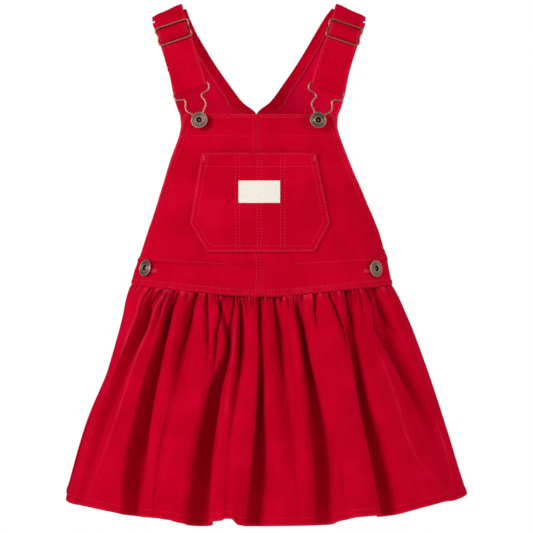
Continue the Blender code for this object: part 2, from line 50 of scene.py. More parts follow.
# %% [markdown]
# ## Curves through a few given values
# Sections, edges and folds are short tables. A monotone cubic joins their rows: it never overshoots,
# and it is level at each crest and trough, so a fold stays as deep as the table says. A plain spline
# would ring beside every sharp fold.


# %% A smooth curve through a table
def hermite(knots, values, slope, at):
    """The cubic between each two knots that has their values and slopes: 1 - t times itself and
    1 + 2t weighs the nearer value, t times itself and 3 - 2t the farther one."""
    k = np.clip(np.searchsorted(knots, at, "right") - 1, 0, len(knots) - 2)
    gap = (knots[k + 1] - knots[k])[:, None]
    t = np.clip((at - knots[k])[:, None] / gap, 0, 1)
    near, far = (1 + 2 * t) * (1 - t) ** 2, t**2 * (3 - 2 * t)
    lead, trail = t * (1 - t) ** 2 * gap, t**2 * (t - 1) * gap
    return near * values[k] + far * values[k + 1] + lead * slope[k] + trail * slope[k + 1]


def smooth(knots, values, at):
    """Monotone cubic: the slope at a knot is the harmonic mean of the slopes beside it, or zero
    where they differ in sign."""
    knots, values, at = np.asarray(knots, float), np.asarray(values, float), np.asarray(at, float)
    if knots[0] > knots[-1]:
        knots, values = knots[::-1], values[::-1]
    flat = values.reshape(len(knots), -1)
    secant = np.diff(flat, axis=0) / np.diff(knots)[:, None]
    slope = np.zeros_like(flat)
    slope[0], slope[-1] = secant[0], secant[-1]
    product = secant[:-1] * secant[1:]
    total = np.where(product > 0, secant[:-1] + secant[1:], 1)
    slope[1:-1] = np.where(product > 0, 2 * product / total, 0)
    return hermite(knots, flat, slope, at.ravel()).reshape(at.shape + values.shape[1:])


LATTICE = 256


def unit(vectors):
    """Each vector divided by its length."""
    return vectors / np.linalg.norm(vectors, axis=-1, keepdims=True)


def bump(distance, width):
    """A soft bell: 1 in the middle, 0.37 at one width from it."""
    return np.exp(-((distance / width) ** 2))


def step(distance, width):
    """0 on the low side and 1 on the high side, eased over about four widths."""
    return 1 / (1 + np.exp(-distance / width))


def wander(u, v, size_u, size_v, seed):
    """Seeded unevenness from -1 to 1: random values on a lattice this coarse, eased between."""
    u, v = np.broadcast_arrays(np.asarray(u, float) / size_u, np.asarray(v, float) / size_v)
    lattice = np.random.default_rng(seed).uniform(-1, 1, (LATTICE, LATTICE))
    i, j = np.floor(u).astype(int), np.floor(v).astype(int)
    s, t = u - i, v - j
    s, t = s * s * (3 - 2 * s), t * t * (3 - 2 * t)
    i, j, above, beyond = (k % LATTICE for k in (i, j, i + 1, j + 1))
    low = lattice[i, j] * (1 - s) + lattice[above, j] * s
    high = lattice[i, beyond] * (1 - s) + lattice[above, beyond] * s
    return low * (1 - t) + high * t


# %% [markdown]
# ## Materials, from what the real ones are
# Each colour is an sRGB value that one function turns to linear. One helper adds a node, sets its
# numbers and links its inputs.


# %% Colour and node helpers
def srgb(code):
    """Linear red, green, blue and alpha of a colour written as six hex digits."""
    channels = [int(code[i:i + 2], 16) / 255 for i in (0, 2, 4)]
    linear = [c / 12.92 if c <= 0.04045 else ((c + 0.055) / 1.055) ** 2.4 for c in channels]
    return (*linear, 1.0)


def add_node(material, kind, inputs=None, **settings):
    """Adds a node. An input's value is a number or colour, or the socket that it is linked to."""
    made = material.node_tree.nodes.new("ShaderNode" + kind)
    for name, value in settings.items():
        setattr(made, name, value)
    for key, value in (inputs or {}).items():
        if isinstance(value, bpy.types.NodeSocket):
            material.node_tree.links.new(value, made.inputs[key])
        else:
            made.inputs[key].default_value = value
    return made


def emptied(owner):
    """A material or world whose node tree has nothing in it."""
    owner.use_nodes = True
    owner.node_tree.nodes.clear()
    return owner


def new_material(name):
    """A material with no nodes yet."""
    return emptied(bpy.data.materials.new(name))


def finished(material, shader):
    """The material, once this shader is its surface."""
    add_node(material, "OutputMaterial", {"Surface": shader.outputs[0]})
    return material


# %% [markdown]
# ### Fine-wale cotton corduroy
# Corduroy is a cotton weave with rows of cut pile, the wales. The pile drinks light, so there is no
# gloss, only a soft rim where it is seen edge on: that is the sheen layer. Needlecord like this has
# a wale every millimetre or so; they are drawn 1.5 mm apart, because finer ones wouldn't show. They
# follow the cloth and not space, so they read the piece's own map, whose unit is a metre of cloth.
# They are bump with a darker groove, because thousands of real ridges would be too many triangles.
# Where an edge rubs the pile wears pale. Along the creases, on the gathers' ridge tops and along the
# waist band a painted highlight pales it too, and deep in the gathers painted shade darkens it. An
# attribute on the cloth says where: above zero for wear and painted highlight, below it for painted
# shade.

# %% Corduroy, its right side
WALE, PILE = 1.5 * MM, 0.6 * MM
WAVER, STREAK_WIDTH, STREAK_LENGTH, PATCH = 9 * MM, 3 * MM, 70 * MM, 28 * MM
# Pale pink for worn pile and painted highlight, dark red for painted shade, and the sheen layer's tint.
WEAR_AND_HIGHLIGHT_PINK, PAINTED_SHADE_RED, SHEEN_TINT = "F2436A", "5C000C", "FF0048"


def make_corduroy(name, ridge, groove, light, sheen):
    """Wales are the absolute sine of the map's across, pushed about a little by noise. The colour goes
    from groove to ridge with them, then takes streaks, patches, specks, wear with painted highlight, and
    painted shade in turn."""
    material = new_material(name)
    place = add_node(material, "UVMap", uv_map="cloth").outputs["UV"]
    solid = add_node(material, "TexCoord").outputs["Object"]
    across = add_node(material, "SeparateXYZ", {0: place}).outputs["X"]
    waver = add_node(material, "TexNoise", {"Vector": solid, "Scale": 1 / WAVER, "Detail": 1.0})
    wave = waver.outputs["Fac"]
    for inputs, operation in (({1: 0.5 * WALE, 2: across}, "MULTIPLY_ADD"),
                              ({1: math.pi / WALE}, "MULTIPLY"), ({}, "SINE"), ({}, "ABSOLUTE")):
        wave = add_node(material, "Math", {0: wave, **inputs}, operation=operation).outputs[0]
    long_way = add_node(material, "Mapping", {"Vector": place,
                                              "Scale": (1 / STREAK_WIDTH, 1 / STREAK_LENGTH, 1)})
    pile, streak, patch = (
        add_node(material, "TexNoise", {"Vector": vector, "Scale": scale, "Detail": detail,
                                        "Roughness": roughness}).outputs["Fac"]
        for vector, scale, detail, roughness in (
            (solid, 1 / PILE, 2.0, 0.6), (long_way.outputs[0], 1.0, 3.0, 0.5),
            (solid, 1 / PATCH, 2.0, 0.5)))
    streak, patch, speck = (
        add_node(material, "MapRange", {"Value": value, "From Min": low, "From Max": high,
                                        "To Max": most}).outputs[0]
        for value, low, high, most in ((streak, 0.35, 0.65, 0.35), (patch, 0.4, 0.7, 0.3),
                                       (pile, 0.45, 0.75, 0.35)))
    # The attribute pales the colour for wear and painted highlight above zero, and darkens it as painted
    # shade below zero.
    wear_and_painted_light = add_node(material, "Attribute", attribute_name="wear_and_painted_light").outputs["Fac"]
    painted_shade = add_node(material, "Math", {0: wear_and_painted_light, 1: -1.0}, operation="MULTIPLY").outputs[0]

    colour = srgb(groove)
    for factor, tint in ((wave, ridge), (streak, groove), (patch, light), (speck, light),
                         (wear_and_painted_light, WEAR_AND_HIGHLIGHT_PINK), (painted_shade, PAINTED_SHADE_RED)):
        colour = add_node(material, "Mix", {"Factor": factor, 6: colour, 7: srgb(tint)},
                          data_type="RGBA").outputs[2]
    rise = add_node(material, "Math", {0: pile, 1: 0.5, 2: wave}, operation="MULTIPLY_ADD")
    relief = add_node(material, "Bump", {"Strength": 0.6, "Distance": 0.24 * MM,
                                         "Height": rise.outputs[0]})
    shader = add_node(material, "BsdfPrincipled", {
        "Base Color": colour, "Roughness": 0.9, "Specular IOR Level": 0.01, "Sheen Weight": sheen,
        "Sheen Roughness": 0.45, "Sheen Tint": srgb(SHEEN_TINT), "Normal": relief.outputs[0]})
    return finished(material, shader)


corduroy = make_corduroy("red fine-wale cotton corduroy", "BE001F", "A60019", "DE0436", 0.55)

# %% [markdown]
# ### The wrong side
# Behind the pile is the plain ground weave. It is flatter and a little pinker, and shows inside the
# back through the neck.

# %% Corduroy, its wrong side
wrong_side = make_corduroy("wrong side of the corduroy", "D2002E", "C20028", "E00440", 0.25)

# %% [markdown]
# ### Sewing thread, label tape and antique copper
# Topstitching is done in a thread a shade lighter than the cloth, so it reads as pale dots. The
# label is a bare tape with a fine plain weave. The hardware is steel wire and pressed shells, plated
# with copper and darkened: brown in the hollows, pink where hands polish it.

# %% Thread, tape and metal


def make_thread(name, colour):
    """Twisted strands catch the light in turn: a fine noise pales the colour."""
    material = new_material(name)
    solid = add_node(material, "TexCoord").outputs["Object"]
    twist = add_node(material, "TexNoise", {"Vector": solid, "Scale": 1 / (0.4 * MM)}).outputs["Fac"]
    tone = add_node(material, "Mix", {"Factor": twist, 6: srgb(colour), 7: srgb("E24466")},
                    data_type="RGBA").outputs[2]
    shader = add_node(material, "BsdfPrincipled", {"Base Color": tone, "Roughness": 0.7,
                                                   "Specular IOR Level": 0.1})
    return finished(material, shader)


def make_tape(name):
    """Cream, a little uneven in its slubs, with a fine slanting weave in relief."""
    material = new_material(name)
    place = add_node(material, "UVMap", uv_map="cloth").outputs["UV"]
    weave = add_node(material, "TexWave", {"Vector": place, "Scale": 1 / (3.2 * MM), "Distortion": 1.0},
                     wave_type="BANDS", bands_direction="DIAGONAL").outputs["Fac"]
    solid = add_node(material, "TexCoord").outputs["Object"]
    slub = add_node(material, "TexNoise", {"Vector": solid, "Scale": 1 / (1.2 * MM), "Detail": 3.0})
    colour = add_node(material, "Mix", {"Factor": slub.outputs["Fac"], 6: srgb("EEE9DC"),
                                        7: srgb("D9D3C4")}, data_type="RGBA").outputs[2]
    relief = add_node(material, "Bump", {"Strength": 0.4, "Distance": 0.12 * MM, "Height": weave})
    shader = add_node(material, "BsdfPrincipled", {"Base Color": colour, "Roughness": 0.75,
                                                   "Sheen Weight": 0.1, "Normal": relief.outputs[0]})
    return finished(material, shader)


def make_copper(name, bright, dark, roughness):
    """Dark to bright by a cloudy noise plus what the edges' wear adds; then an attribute blackens
    hollows: tarnish and painted shade in a button's grooves, painted shade in its hole.
    """
    material = new_material(name)
    solid = add_node(material, "TexCoord").outputs["Object"]
    cloud = add_node(material, "TexNoise", {"Vector": solid, "Scale": 1 / (2.5 * MM), "Detail": 4.0,
                                            "Roughness": 0.65}).outputs["Fac"]
    # Tarnish and painted shade in a button's grooves, and painted shade in its hole, darken the colour.
    tarnish_and_painted_shade = add_node(material, "Attribute", attribute_name="tarnish_and_painted_shade").outputs["Fac"]
    edge = add_node(material, "NewGeometry").outputs["Pointiness"]
    worn = add_node(material, "MapRange", {"Value": edge, "From Min": 0.44, "From Max": 0.58,
                                           "To Min": -0.25, "To Max": 0.45}).outputs[0]
    share = add_node(material, "Math", {0: cloud, 1: worn}, operation="ADD", use_clamp=True)
    colour = add_node(material, "Mix", {"Factor": share.outputs[0], 6: srgb(dark), 7: srgb(bright)},
                      data_type="RGBA").outputs[2]
    colour = add_node(material, "Mix", {"Factor": tarnish_and_painted_shade, 6: colour, 7: srgb("100A08")},
                      data_type="RGBA").outputs[2]
    relief = add_node(material, "Bump", {"Strength": 0.25, "Distance": 0.08 * MM, "Height": cloud})
    shader = add_node(material, "BsdfPrincipled", {
        "Base Color": colour, "Metallic": 1.0, "Roughness": roughness, "Normal": relief.outputs[0]})
    return finished(material, shader)


thread = make_thread("pale red sewing thread", "D21C40")
tape = make_tape("bare cream woven tape")
wire_copper = make_copper("antique copper plated wire", "B88270", "4C2E26", 0.34)
button_copper = make_copper("antique copper button shell", "A98B7C", "4A362C", 0.42)

# %% [markdown]
# ## Making a piece of cloth
# Every panel is a grid of points: rows run down it and columns run to the right, as it is seen from
# outside. The grid is the outer face. The inner face lies one wall behind it, and a rounded rim
# joins them, as a turned edge does. Solidify would do it too, but this way the inner face takes the
# wrong side of the cloth and the map comes with it.

# %% Cloth from a grid
CLOTH = 1.2 * MM


def outward_of(grid):
    """Unit normals: the direction down a column crossed with the direction along a row."""
    down, right = (np.gradient(grid, axis=axis, edge_order=2) for axis in (0, 1))
    return unit(np.cross(down, right))


def lifted(grid, distance):
    """The grid moved out along its own normals by this distance, in metres."""
    return grid + outward_of(grid) * np.asarray(distance)[..., None]


def lengths(grid, axis):
    """Distance along the cloth from the first row (axis 0) or column (axis 1), or along a path from
    its first point (axis 0)."""
    hop = np.linalg.norm(np.diff(grid, axis=axis), axis=-1)
    start = np.zeros_like(np.take(hop, [0], axis=axis))
    return np.concatenate([start, np.cumsum(hop, axis=axis)], axis=axis)


def run_and_fall(grid):
    """Millimetres of cloth along each row, and down each column."""
    return lengths(grid, 1) / MM, lengths(grid, 0) / MM


def full_turn(count):
    """Evenly spaced angles once round a circle."""
    return np.linspace(0, 2 * math.pi, count, endpoint=False)


def placed(name, data):
    """A new object with this data, in the scene."""
    made = bpy.data.objects.new(name, data)
    bpy.context.scene.collection.objects.link(made)
    return made


def mesh_object(name, points, faces, materials, slots=None):
    """A smooth mesh from points and a list of face arrays."""
    mesh = bpy.data.meshes.new(name)
    mesh.from_pydata(points.reshape(-1, 3).tolist(), [], [f for group in faces for f in group.tolist()])
    for material in materials:
        mesh.materials.append(material)
    if slots is not None:
        mesh.polygons.foreach_set("material_index", np.concatenate(slots).astype(np.int32))
    mesh.shade_smooth()
    made = placed(name, mesh)
    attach(made, "root")
    return made


def stands_for(piece, node, slot="corduroy", **sheet):
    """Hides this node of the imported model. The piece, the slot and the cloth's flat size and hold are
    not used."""
    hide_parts(node)


def paint(made, name, values):
    """One number for each point, which a material reads as the attribute of this name."""
    layer = made.data.attributes.new(name, "FLOAT", "POINT")
    layer.data.foreach_set("value", values.astype(np.float32).ravel())


def set_map(made, across, down):
    """The piece's own map: metres of cloth across and down, one pair for each point."""
    mesh = made.data
    corner = np.empty(len(mesh.loops), np.int32)
    mesh.loops.foreach_get("vertex_index", corner)
    places = np.stack([across.ravel()[corner], down.ravel()[corner]], -1)
    mesh.uv_layers.new(name="cloth").data.foreach_set("uv", places.astype(np.float32).ravel())


def cloth(name, grid, across=None, down=None, wall=CLOTH, faces=None, wear_and_painted_light=0.0):
    """A wall of cloth with a round rim, its map, where it is pale from wear and painted highlight, and
    where it is dark with painted shade.
    """
    rows, columns = grid.shape[:2]
    across = lengths(grid, 1) if across is None else across
    down = lengths(grid, 0) if down is None else down
    number = np.arange(rows * columns).reshape(rows, columns)
    rim = np.concatenate([number[0], number[1:, -1], number[-1, -2::-1], number[-2:0:-1, 0]])
    row, column = rim // columns, rim % columns
    inner = lifted(grid, -wall)
    middle = ((grid + inner) / 2).reshape(-1, 3)
    inward = np.clip(row, 1, rows - 2) * columns + np.clip(column, 1, columns - 2)
    ring = middle[rim] + unit(middle[rim] - middle[inward]) * wall / 2
    points = np.concatenate([grid.reshape(-1, 3), inner.reshape(-1, 3), ring])
    behind, beyond = rows * columns, 2 * rows * columns + np.arange(len(rim))
    following, after = np.roll(rim, -1), np.roll(beyond, -1)
    groups = [
        np.stack([number[:-1, :-1], number[1:, :-1], number[1:, 1:], number[:-1, 1:]], -1),
        np.stack([number[:-1, :-1], number[:-1, 1:], number[1:, 1:], number[1:, :-1]], -1) + behind,
        np.stack([rim, following, after, beyond], -1),
        np.stack([beyond, after, following + behind, rim + behind], -1),
    ]
    groups = [group.reshape(-1, 4) for group in groups]
    slots = [np.full(len(group), slot) for group, slot in zip(groups, (0, 1, 0, 1))]
    made = mesh_object(name, points, groups, faces or (corduroy, wrong_side), slots)
    every = [np.concatenate([field.ravel(), field.ravel(), field.ravel()[rim]])
             for field in (across, down, np.broadcast_to(wear_and_painted_light, (rows, columns)))]
    set_map(made, *every[:2])
    paint(made, "wear_and_painted_light", every[2])
    return made


# %% [markdown]
# ## Stitches
# A topstitch is a short thread that comes up out of the cloth and dives back in, every 3 mm. Each is
# a little arched capsule, and a whole seam's stitches are one joined mesh. A line of them follows
# the finished surface, so it is read from the cloth's own grid at fractional rows and columns.

# %% Lines on cloth, and stitches along them
STITCH, GAP, THREAD = 1.7 * MM, 1.3 * MM, 0.19 * MM


def read_grid(values, row, column):
    """Values between a grid's points: bilinear in the four around each place."""
    row = np.clip(row, 0, values.shape[0] - 1.001)
    column = np.clip(column, 0, values.shape[1] - 1.001)
    i, j = row.astype(int), column.astype(int)
    s, t = (row - i)[..., None], (column - j)[..., None]
    low = values[i, j] * (1 - s) + values[i + 1, j] * s
    high = values[i, j + 1] * (1 - s) + values[i + 1, j + 1] * s
    return low * (1 - t) + high * t


def line_on(grid, row, column):
    """Points and outward directions of a line across a grid."""
    row, column = np.broadcast_arrays(np.asarray(row, float), np.asarray(column, float))
    return read_grid(grid, row, column), unit(read_grid(outward_of(grid), row, column))


def columns_at(field, value):
    """For each row, the fractional column where an increasing field reaches the value."""
    value = np.broadcast_to(value, len(field))
    return np.array([np.interp(v, line, np.arange(len(line))) for v, line in zip(value, field)])


def rows_at(field, value):
    """For each column, the fractional row where an increasing field reaches the value."""
    return columns_at(field.T, value)


def in_from(run, from_left):
    """Millimetres of cloth from the left or the right edge to each point of a row."""
    return run if from_left else run[:, -1:] - run


def columns_in(run, distance, from_left):
    """Fractional columns this far in from the left or the right edge of each row."""
    return columns_at(run, distance if from_left else run[:, -1] - distance)


def stitches(name, lines, length=STITCH, gap=GAP, thickness=THREAD):
    """One mesh of arched capsules. Ring k of a stitch stands at share s = -1..1 of half its length,
    rises as 1 - s squared, and narrows towards its ends as the root of 1.15 - s squared."""
    rings, sides = 5, 6
    share = np.linspace(-1, 1, rings)[:, None, None]
    turn = full_turn(sides)[None, :, None]
    points = []
    for path, outward in lines:
        run = lengths(path, 0)
        count = max(1, int((run[-1] - gap) / (length + gap)))
        at = (np.arange(count) + 0.5) / count * run[-1]
        middle, along, up = (np.stack([np.interp(at, run, axis) for axis in values.T], -1)
                             for values in (path, np.gradient(path, run, axis=0), outward))
        along, side = unit(along), unit(np.cross(along, up))
        along, up, side = (values[:, None, None, :] for values in (along, unit(up), side))
        radius = thickness * np.sqrt(1.15 - share**2)
        rise = thickness * (1.2 * (1 - share**2) - 0.35)
        points.append(middle[:, None, None, :] + along * share * length / 2
                      + up * (rise + radius * np.sin(turn)) + side * radius * np.cos(turn))
    points = np.concatenate(points)
    corner = np.arange(points[..., 0].size).reshape(points.shape[:3])
    beside = np.roll(corner, -1, axis=2)
    skin = np.stack([corner[:, :-1], beside[:, :-1], beside[:, 1:], corner[:, 1:]], -1).reshape(-1, 4)
    caps = np.concatenate([corner[:, 0, ::-1], corner[:, -1]])
    made = mesh_object(name, points, [skin[:, ::-1], caps[:, ::-1]], [thread])
    print(name, len(points), "stitches")
    return made


# %% [markdown]
# ## The body's form
# The dress is filled out but nobody wears it, so its form comes from plain sections: flattened ovals
# that are rounder at the bib and squarer at the waist. Each is a superellipse, which keeps the front
# nearly flat and turns quickly at the sides, as the foreshortened side buttons show.

# %% Sections of the body, in millimetres
UNDERARM, WAIST, WAIST_DIP, FLANK_RAISE = -245.0, -270.5, 5.0, 4.6
HALF_SEAM = 0.05
BODY = np.array([
    # height, half_width, front, back, power, lean
    (-100, 114, 52, 60, 2.4, 0),
    (-130, 115, 61, 61.5, 2.5, 0.2),
    (-160, 116.5, 67, 61.5, 2.6, 0.5),
    (-200, 119.5, 71, 61.5, 2.7, 1.2),
    (-230, 122.3, 70.5, 62, 2.8, 1.8),
    (-245, 124, 69.5, 62.5, 2.9, 3.5),
    (-260, 127.9, 68.5, 63, 3, 2.6),
    (-275.5, 131.5, 68, 64, 3, 2.5),
])
FRONT_EDGE = np.array([
    # height, left_edge, right_edge
    (-100, 70.5, 70.5), (-103, 73, 73), (-110, 75, 75.3), (-117, 76.3, 77),
    (-147, 86.8, 87.8), (-184, 98.5, 103), (-216, 110, 116), (-236, 117.7, 121.8),
    (-240.5, 120.6, 122.7), (-243.5, 122.9, 123.2), (-245, 124, 124),
])


def body_section(height):
    """Half width, front and back depth, power and lean, one column vector each."""
    return (values[:, None] for values in smooth(BODY[:, 0], BODY[:, 1:], height).T)


def on_section(angle, half_width, depth, power):
    """A superellipse: |across / half width| and |forward / depth|, each to the power, add to 1. The
    outward direction is the gradient of that sum."""
    s, c = np.sin(angle), np.cos(angle)
    scale = (np.abs(s) ** power + np.abs(c) ** power) ** (-1 / power)
    across, forward = half_width * scale * s, depth * scale * c
    out = np.stack([
        np.sign(s) * np.abs(across / half_width) ** (power - 1) / half_width,
        np.sign(c) * np.abs(forward / depth) ** (power - 1) / depth,
    ])
    return across, forward, out / np.hypot(*out)


def angle_across(across, half_width, depth, power):
    """The section's angle at this distance from its middle, just short of the side seam."""
    share = np.clip(np.abs(across) / half_width, 0, 1)
    angle = np.arctan2(share, (1 - share**power) ** (1 / power))
    return np.sign(across) * np.minimum(angle, math.pi / 2 - HALF_SEAM / depth)


def waist_drop(height, forward_share):
    """The waist seam hangs lower at the centre, and is drawn up a little between there and the side
    seams: this much, fading out at the underarm. The share is the cosine of the section's angle."""
    low = np.clip((UNDERARM - height) / (UNDERARM - WAIST), 0, 1)
    share = np.clip(forward_share, 0, 1) ** 2
    return low * (WAIST_DIP * share - FLANK_RAISE * 4 * share * (1 - share))


# %% [markdown]
# ## The front
# Each half runs from the bib top to the waist seam in one piece. The armhole and top edges are
# turned and topstitched, which puffs the edge and dents the seam; a facing inside ends in a row of
# stitches above the waist; and two rows of stitches hold the waist seam down. All of that is one
# relief field, in millimetres, pushed out along the surface.

# %% The front's surface
FRONT_ROWS, FRONT_COLUMNS = 128, 104


def slant_of(edge, height):
    """How much longer a slanting edge is than its height: distances across a row shrink by this."""
    return np.hypot(1, np.gradient(edge, height))


def front_points(height, first, last, columns):
    """Points between two distances from the centre line, evenly spaced in section angle."""
    half, depth, _, power, lean = body_section(height)
    first, last = (angle_across(np.asarray(edge)[:, None], half, depth, power)
                   for edge in (first, last))
    angle = first + (last - first) * np.linspace(0, 1, columns)
    across, forward, _ = on_section(angle, half, depth, power)
    level = height[:, None] - waist_drop(height[:, None], np.cos(angle))
    return np.stack([across + lean, -forward, level], -1) * MM


def front_half(side):
    """Heights, the outer edge's distance from the centre line at each, and the grid of points."""
    height = np.linspace(BODY[0, 0], WAIST, FRONT_ROWS)
    half = smooth(BODY[:, 0], BODY[:, 1], height)
    edge = smooth(FRONT_EDGE[:, 0], FRONT_EDGE[:, 1 if side < 0 else 2], np.maximum(height, UNDERARM))
    edge = np.where(height <= UNDERARM, half, edge)
    seam = np.full_like(edge, HALF_SEAM)
    ends = (-edge, -seam) if side < 0 else (seam, edge)
    return height, edge, front_points(height, *ends, FRONT_COLUMNS)


# %% [markdown]
# ### Soft creases
# The bib isn't flat: the straps pull on its corners and the pocket drags on the cloth. Each crease is
# given as the two ends of a line in the front's own millimetres, with a width and a depth. Its depth
# fades towards the ends, and it is round across.

# %% Creases, given one by one
BIB_CREASES = np.array([
    # from_across, from_height, to_across, to_height, width, depth
    (-62, -118, -52, -136, 7, 0.9),
    (-48, -116, -20, -128, 6, 0.5),
    (54, -116, 66, -138, 7, 1.2),
    (44, -112, 18, -126, 6, 0.5),
    (70, -128, 84, -158, 7, 0.9),
    (-78, -140, -88, -176, 8, 0.6),
    (82, -168, 70, -196, 9, 0.8),
    (-96, -200, -70, -226, 10, 0.8),
    (96, -196, 76, -232, 10, 0.9),
    (-30, -236, 20, -239, 6, 0.3),
    (-104, -228, -92, -250, 7, 0.6),
    (104, -226, 96, -250, 7, 0.7),
    (60, -236, 84, -242, 5, 0.4),
])


def creased(grid, table):
    """Depth of the creases at each point: a bell across each line, a half sine along it."""
    x, z = grid[..., 0] / MM, grid[..., 2] / MM
    total = np.zeros_like(x)
    for x0, z0, x1, z1, width, depth in table:
        run = math.hypot(x1 - x0, z1 - z0)
        along = ((x - x0) * (x1 - x0) + (z - z0) * (z1 - z0)) / run
        aside = ((x - x0) * (z1 - z0) - (z - z0) * (x1 - x0)) / run
        fade = np.clip(np.minimum(along + width, run + width - along) / (run / 2 + width), 0, 1)
        total += depth * bump(aside, width) * np.sin(fade * math.pi / 2) ** 2
    return total


def pucker(distance, along, reach, seed):
    """Short ripples beside a seam: uneven along it every 4 mm or so, gone beyond its reach."""
    ripple = wander(along, distance, 3.2, 9.0, seed) + 0.6 * wander(along, distance, 6.5, 20.0, seed + 1)
    return ripple * bump(distance, reach)


def turned_edge(distance, along, stitch, seed):
    """A turned, topstitched edge: a soft roll outside the stitches, and a dent along them."""
    roll = 0.75 * bump(distance - stitch * 0.45, stitch * 0.45)
    roll = roll * (1 + 0.5 * wander(along, distance, 4, 9, seed))
    return roll - 0.45 * bump(distance - stitch, 1.2) + 0.28 * pucker(distance - stitch, along, 4, seed)


def sewn_waist(run, to_waist, seed):
    """Two rows of stitches dent the cloth, it ripples beside them, and it dives in at the seam."""
    dents = sum(0.35 * bump(to_waist - stitch, 1.0) for stitch in WAIST_STITCHES)
    ripple = 0.75 * pucker(to_waist - 3, run + 0.8 * to_waist, 5, seed)
    return ripple - dents - bump(to_waist, 1.4)


def patchy(along, down, seed, size=3):
    """Wear and painted highlight are never even: this much of them, from 0.2 to 1, in patches a few
    millimetres long.
    """
    return 0.6 + 0.4 * wander(along, down, size, 3, seed)


# %% The two halves of the front
EDGE_STITCH, TOP_STITCH, FACING_STITCH = 5.5, 3.5, 22.0
FACING_LINE, FACING_LINE_DIP = -240.5, 3.5
FACING_LINE_FADES = 20  # no stitches of it show this near the centre
WAIST_STITCHES, CENTRE_STITCHES, EDGE_WEAR_AND_HIGHLIGHT = (2.0, 6.5), (1.4, 5.2), 0.34
seams = {kind: [] for kind in ("front", "back", "pocket", "strap", "skirt", "neck", "facing", "waist")}
FINE_SEAMS = {"facing": 0.12, "waist": 0.17, "strap": 0.13, "skirt": 0.13}  # thread, where it sinks in


def sew(kind, grid, row, column):
    """One line of this seam's stitches, along these fractional rows and columns."""
    seams[kind].append(line_on(grid, row, column))


def sew_above_hem(kind, grid, fall, inset):
    """Stitches from side to side, this far above the lower edge."""
    every = np.arange(1, grid.shape[1] - 1)
    sew(kind, grid, rows_at(fall, fall[-1] - inset)[every], every)


def front_relief(side, height, edge, grid):
    """What seams, stitches, puckers and creases add to the bib, in metres, and where it is pale from
    wear and from painted highlight.
    """
    run, fall = run_and_fall(grid)
    to_edge = in_from(run, side < 0) / slant_of(edge, height)[:, None]
    to_centre = in_from(run, side > 0)
    to_waist = fall[-1:] - fall
    x = grid[..., 0] / MM
    armhole = step(height - UNDERARM + 1, 1.0)[:, None]
    line = FACING_LINE - FACING_LINE_DIP * bump(x, 70)
    below = line - grid[..., 2] / MM
    relief = armhole * turned_edge(to_edge, fall, EDGE_STITCH, 3 + side)
    relief += turned_edge(fall, run, TOP_STITCH, 11 + side)
    relief -= 0.3 * bump(fall - FACING_STITCH, 1.4)
    relief -= 0.9 * bump(to_centre, 0.9)
    relief += 0.35 * bump(to_centre - 3, 2.2) + 0.2 * pucker(to_centre - 3, fall, 5, 17)
    relief += 0.14 * step(below, 0.7) - 0.2 * bump(below, 1.1) + 0.22 * pucker(below, run, 5, 23 + side)
    relief += sewn_waist(run, to_waist, 29 + side) - creased(grid, BIB_CREASES)
    relief += 0.5 * wander(x, height[:, None], 36, 40, 31) + 0.14 * wander(x, height[:, None], 9, 12, 37)
    wear_and_painted_light = armhole * bump(to_edge - 1.0, 1.3) + bump(fall - 0.5, 1.0) + 0.4 * bump(to_centre, 0.9)
    # Painted highlight: pale patches along the band just above the waist seam.
    wear_and_painted_light += 0.35 * bump(to_waist - 4, 3.5) * step(wander(run, to_waist, 1.6, 2.2, 41), 0.2)
    return relief * MM, EDGE_WEAR_AND_HIGHLIGHT * wear_and_painted_light * patchy(run, fall, 43)


front_grids = {}
for name, side in SIDES.items():
    height, edge, grid = front_half(side)
    relief, wear_and_painted_light = front_relief(side, height, edge, grid)
    run, fall = run_and_fall(grid)
    grid = lifted(grid, relief)
    front_grids[name] = grid
    made = cloth("front_cloth_" + name, grid, wear_and_painted_light=wear_and_painted_light)
    stands_for(made, "front_" + name, flat=(0.169, 0.179), held="hung", area=0.0201)

    rows = np.arange(FRONT_ROWS)
    edge_column = columns_in(run, EDGE_STITCH * slant_of(edge, height), side < 0)
    above = (height > UNDERARM + 2) & (height < BODY[0, 0] - 6)
    sew("front", grid, rows[above], edge_column[above])
    columns = np.arange(6, FRONT_COLUMNS - 2)
    columns = columns if side < 0 else FRONT_COLUMNS - 1 - columns
    sew("front", grid, rows_at(fall, TOP_STITCH)[columns], columns)
    sew("facing", grid, rows_at(fall, FACING_STITCH)[columns[10:-6]], columns[10:-6])
    for stitch in WAIST_STITCHES:
        sew_above_hem("waist", grid, fall, stitch)
    line = FACING_LINE - FACING_LINE_DIP * bump(grid[..., 0] / MM, 70)
    shown = np.abs(grid[60, :, 0] / MM - 1) > FACING_LINE_FADES
    shown[[0, -1]] = False
    facing_row = rows_at(line - grid[..., 2] / MM, 0.0)
    sew("front", grid, facing_row[shown], np.flatnonzero(shown))
    if side < 0:
        down = rows[3:-2]
        for inset in CENTRE_STITCHES:
            sew("front", grid, down, columns_in(run, inset, False)[down])
print("front halves:", front_grids["left"].shape)

# %% [markdown]
# ## The back
# The back is plain, as far as it shows: two halves with a seam down the middle, a V neck, and
# shoulders that narrow to the width of the straps. Its profile leans forward over the shoulder
# blades to meet them. Through the neck its wrong side shows, with the facing along the V.

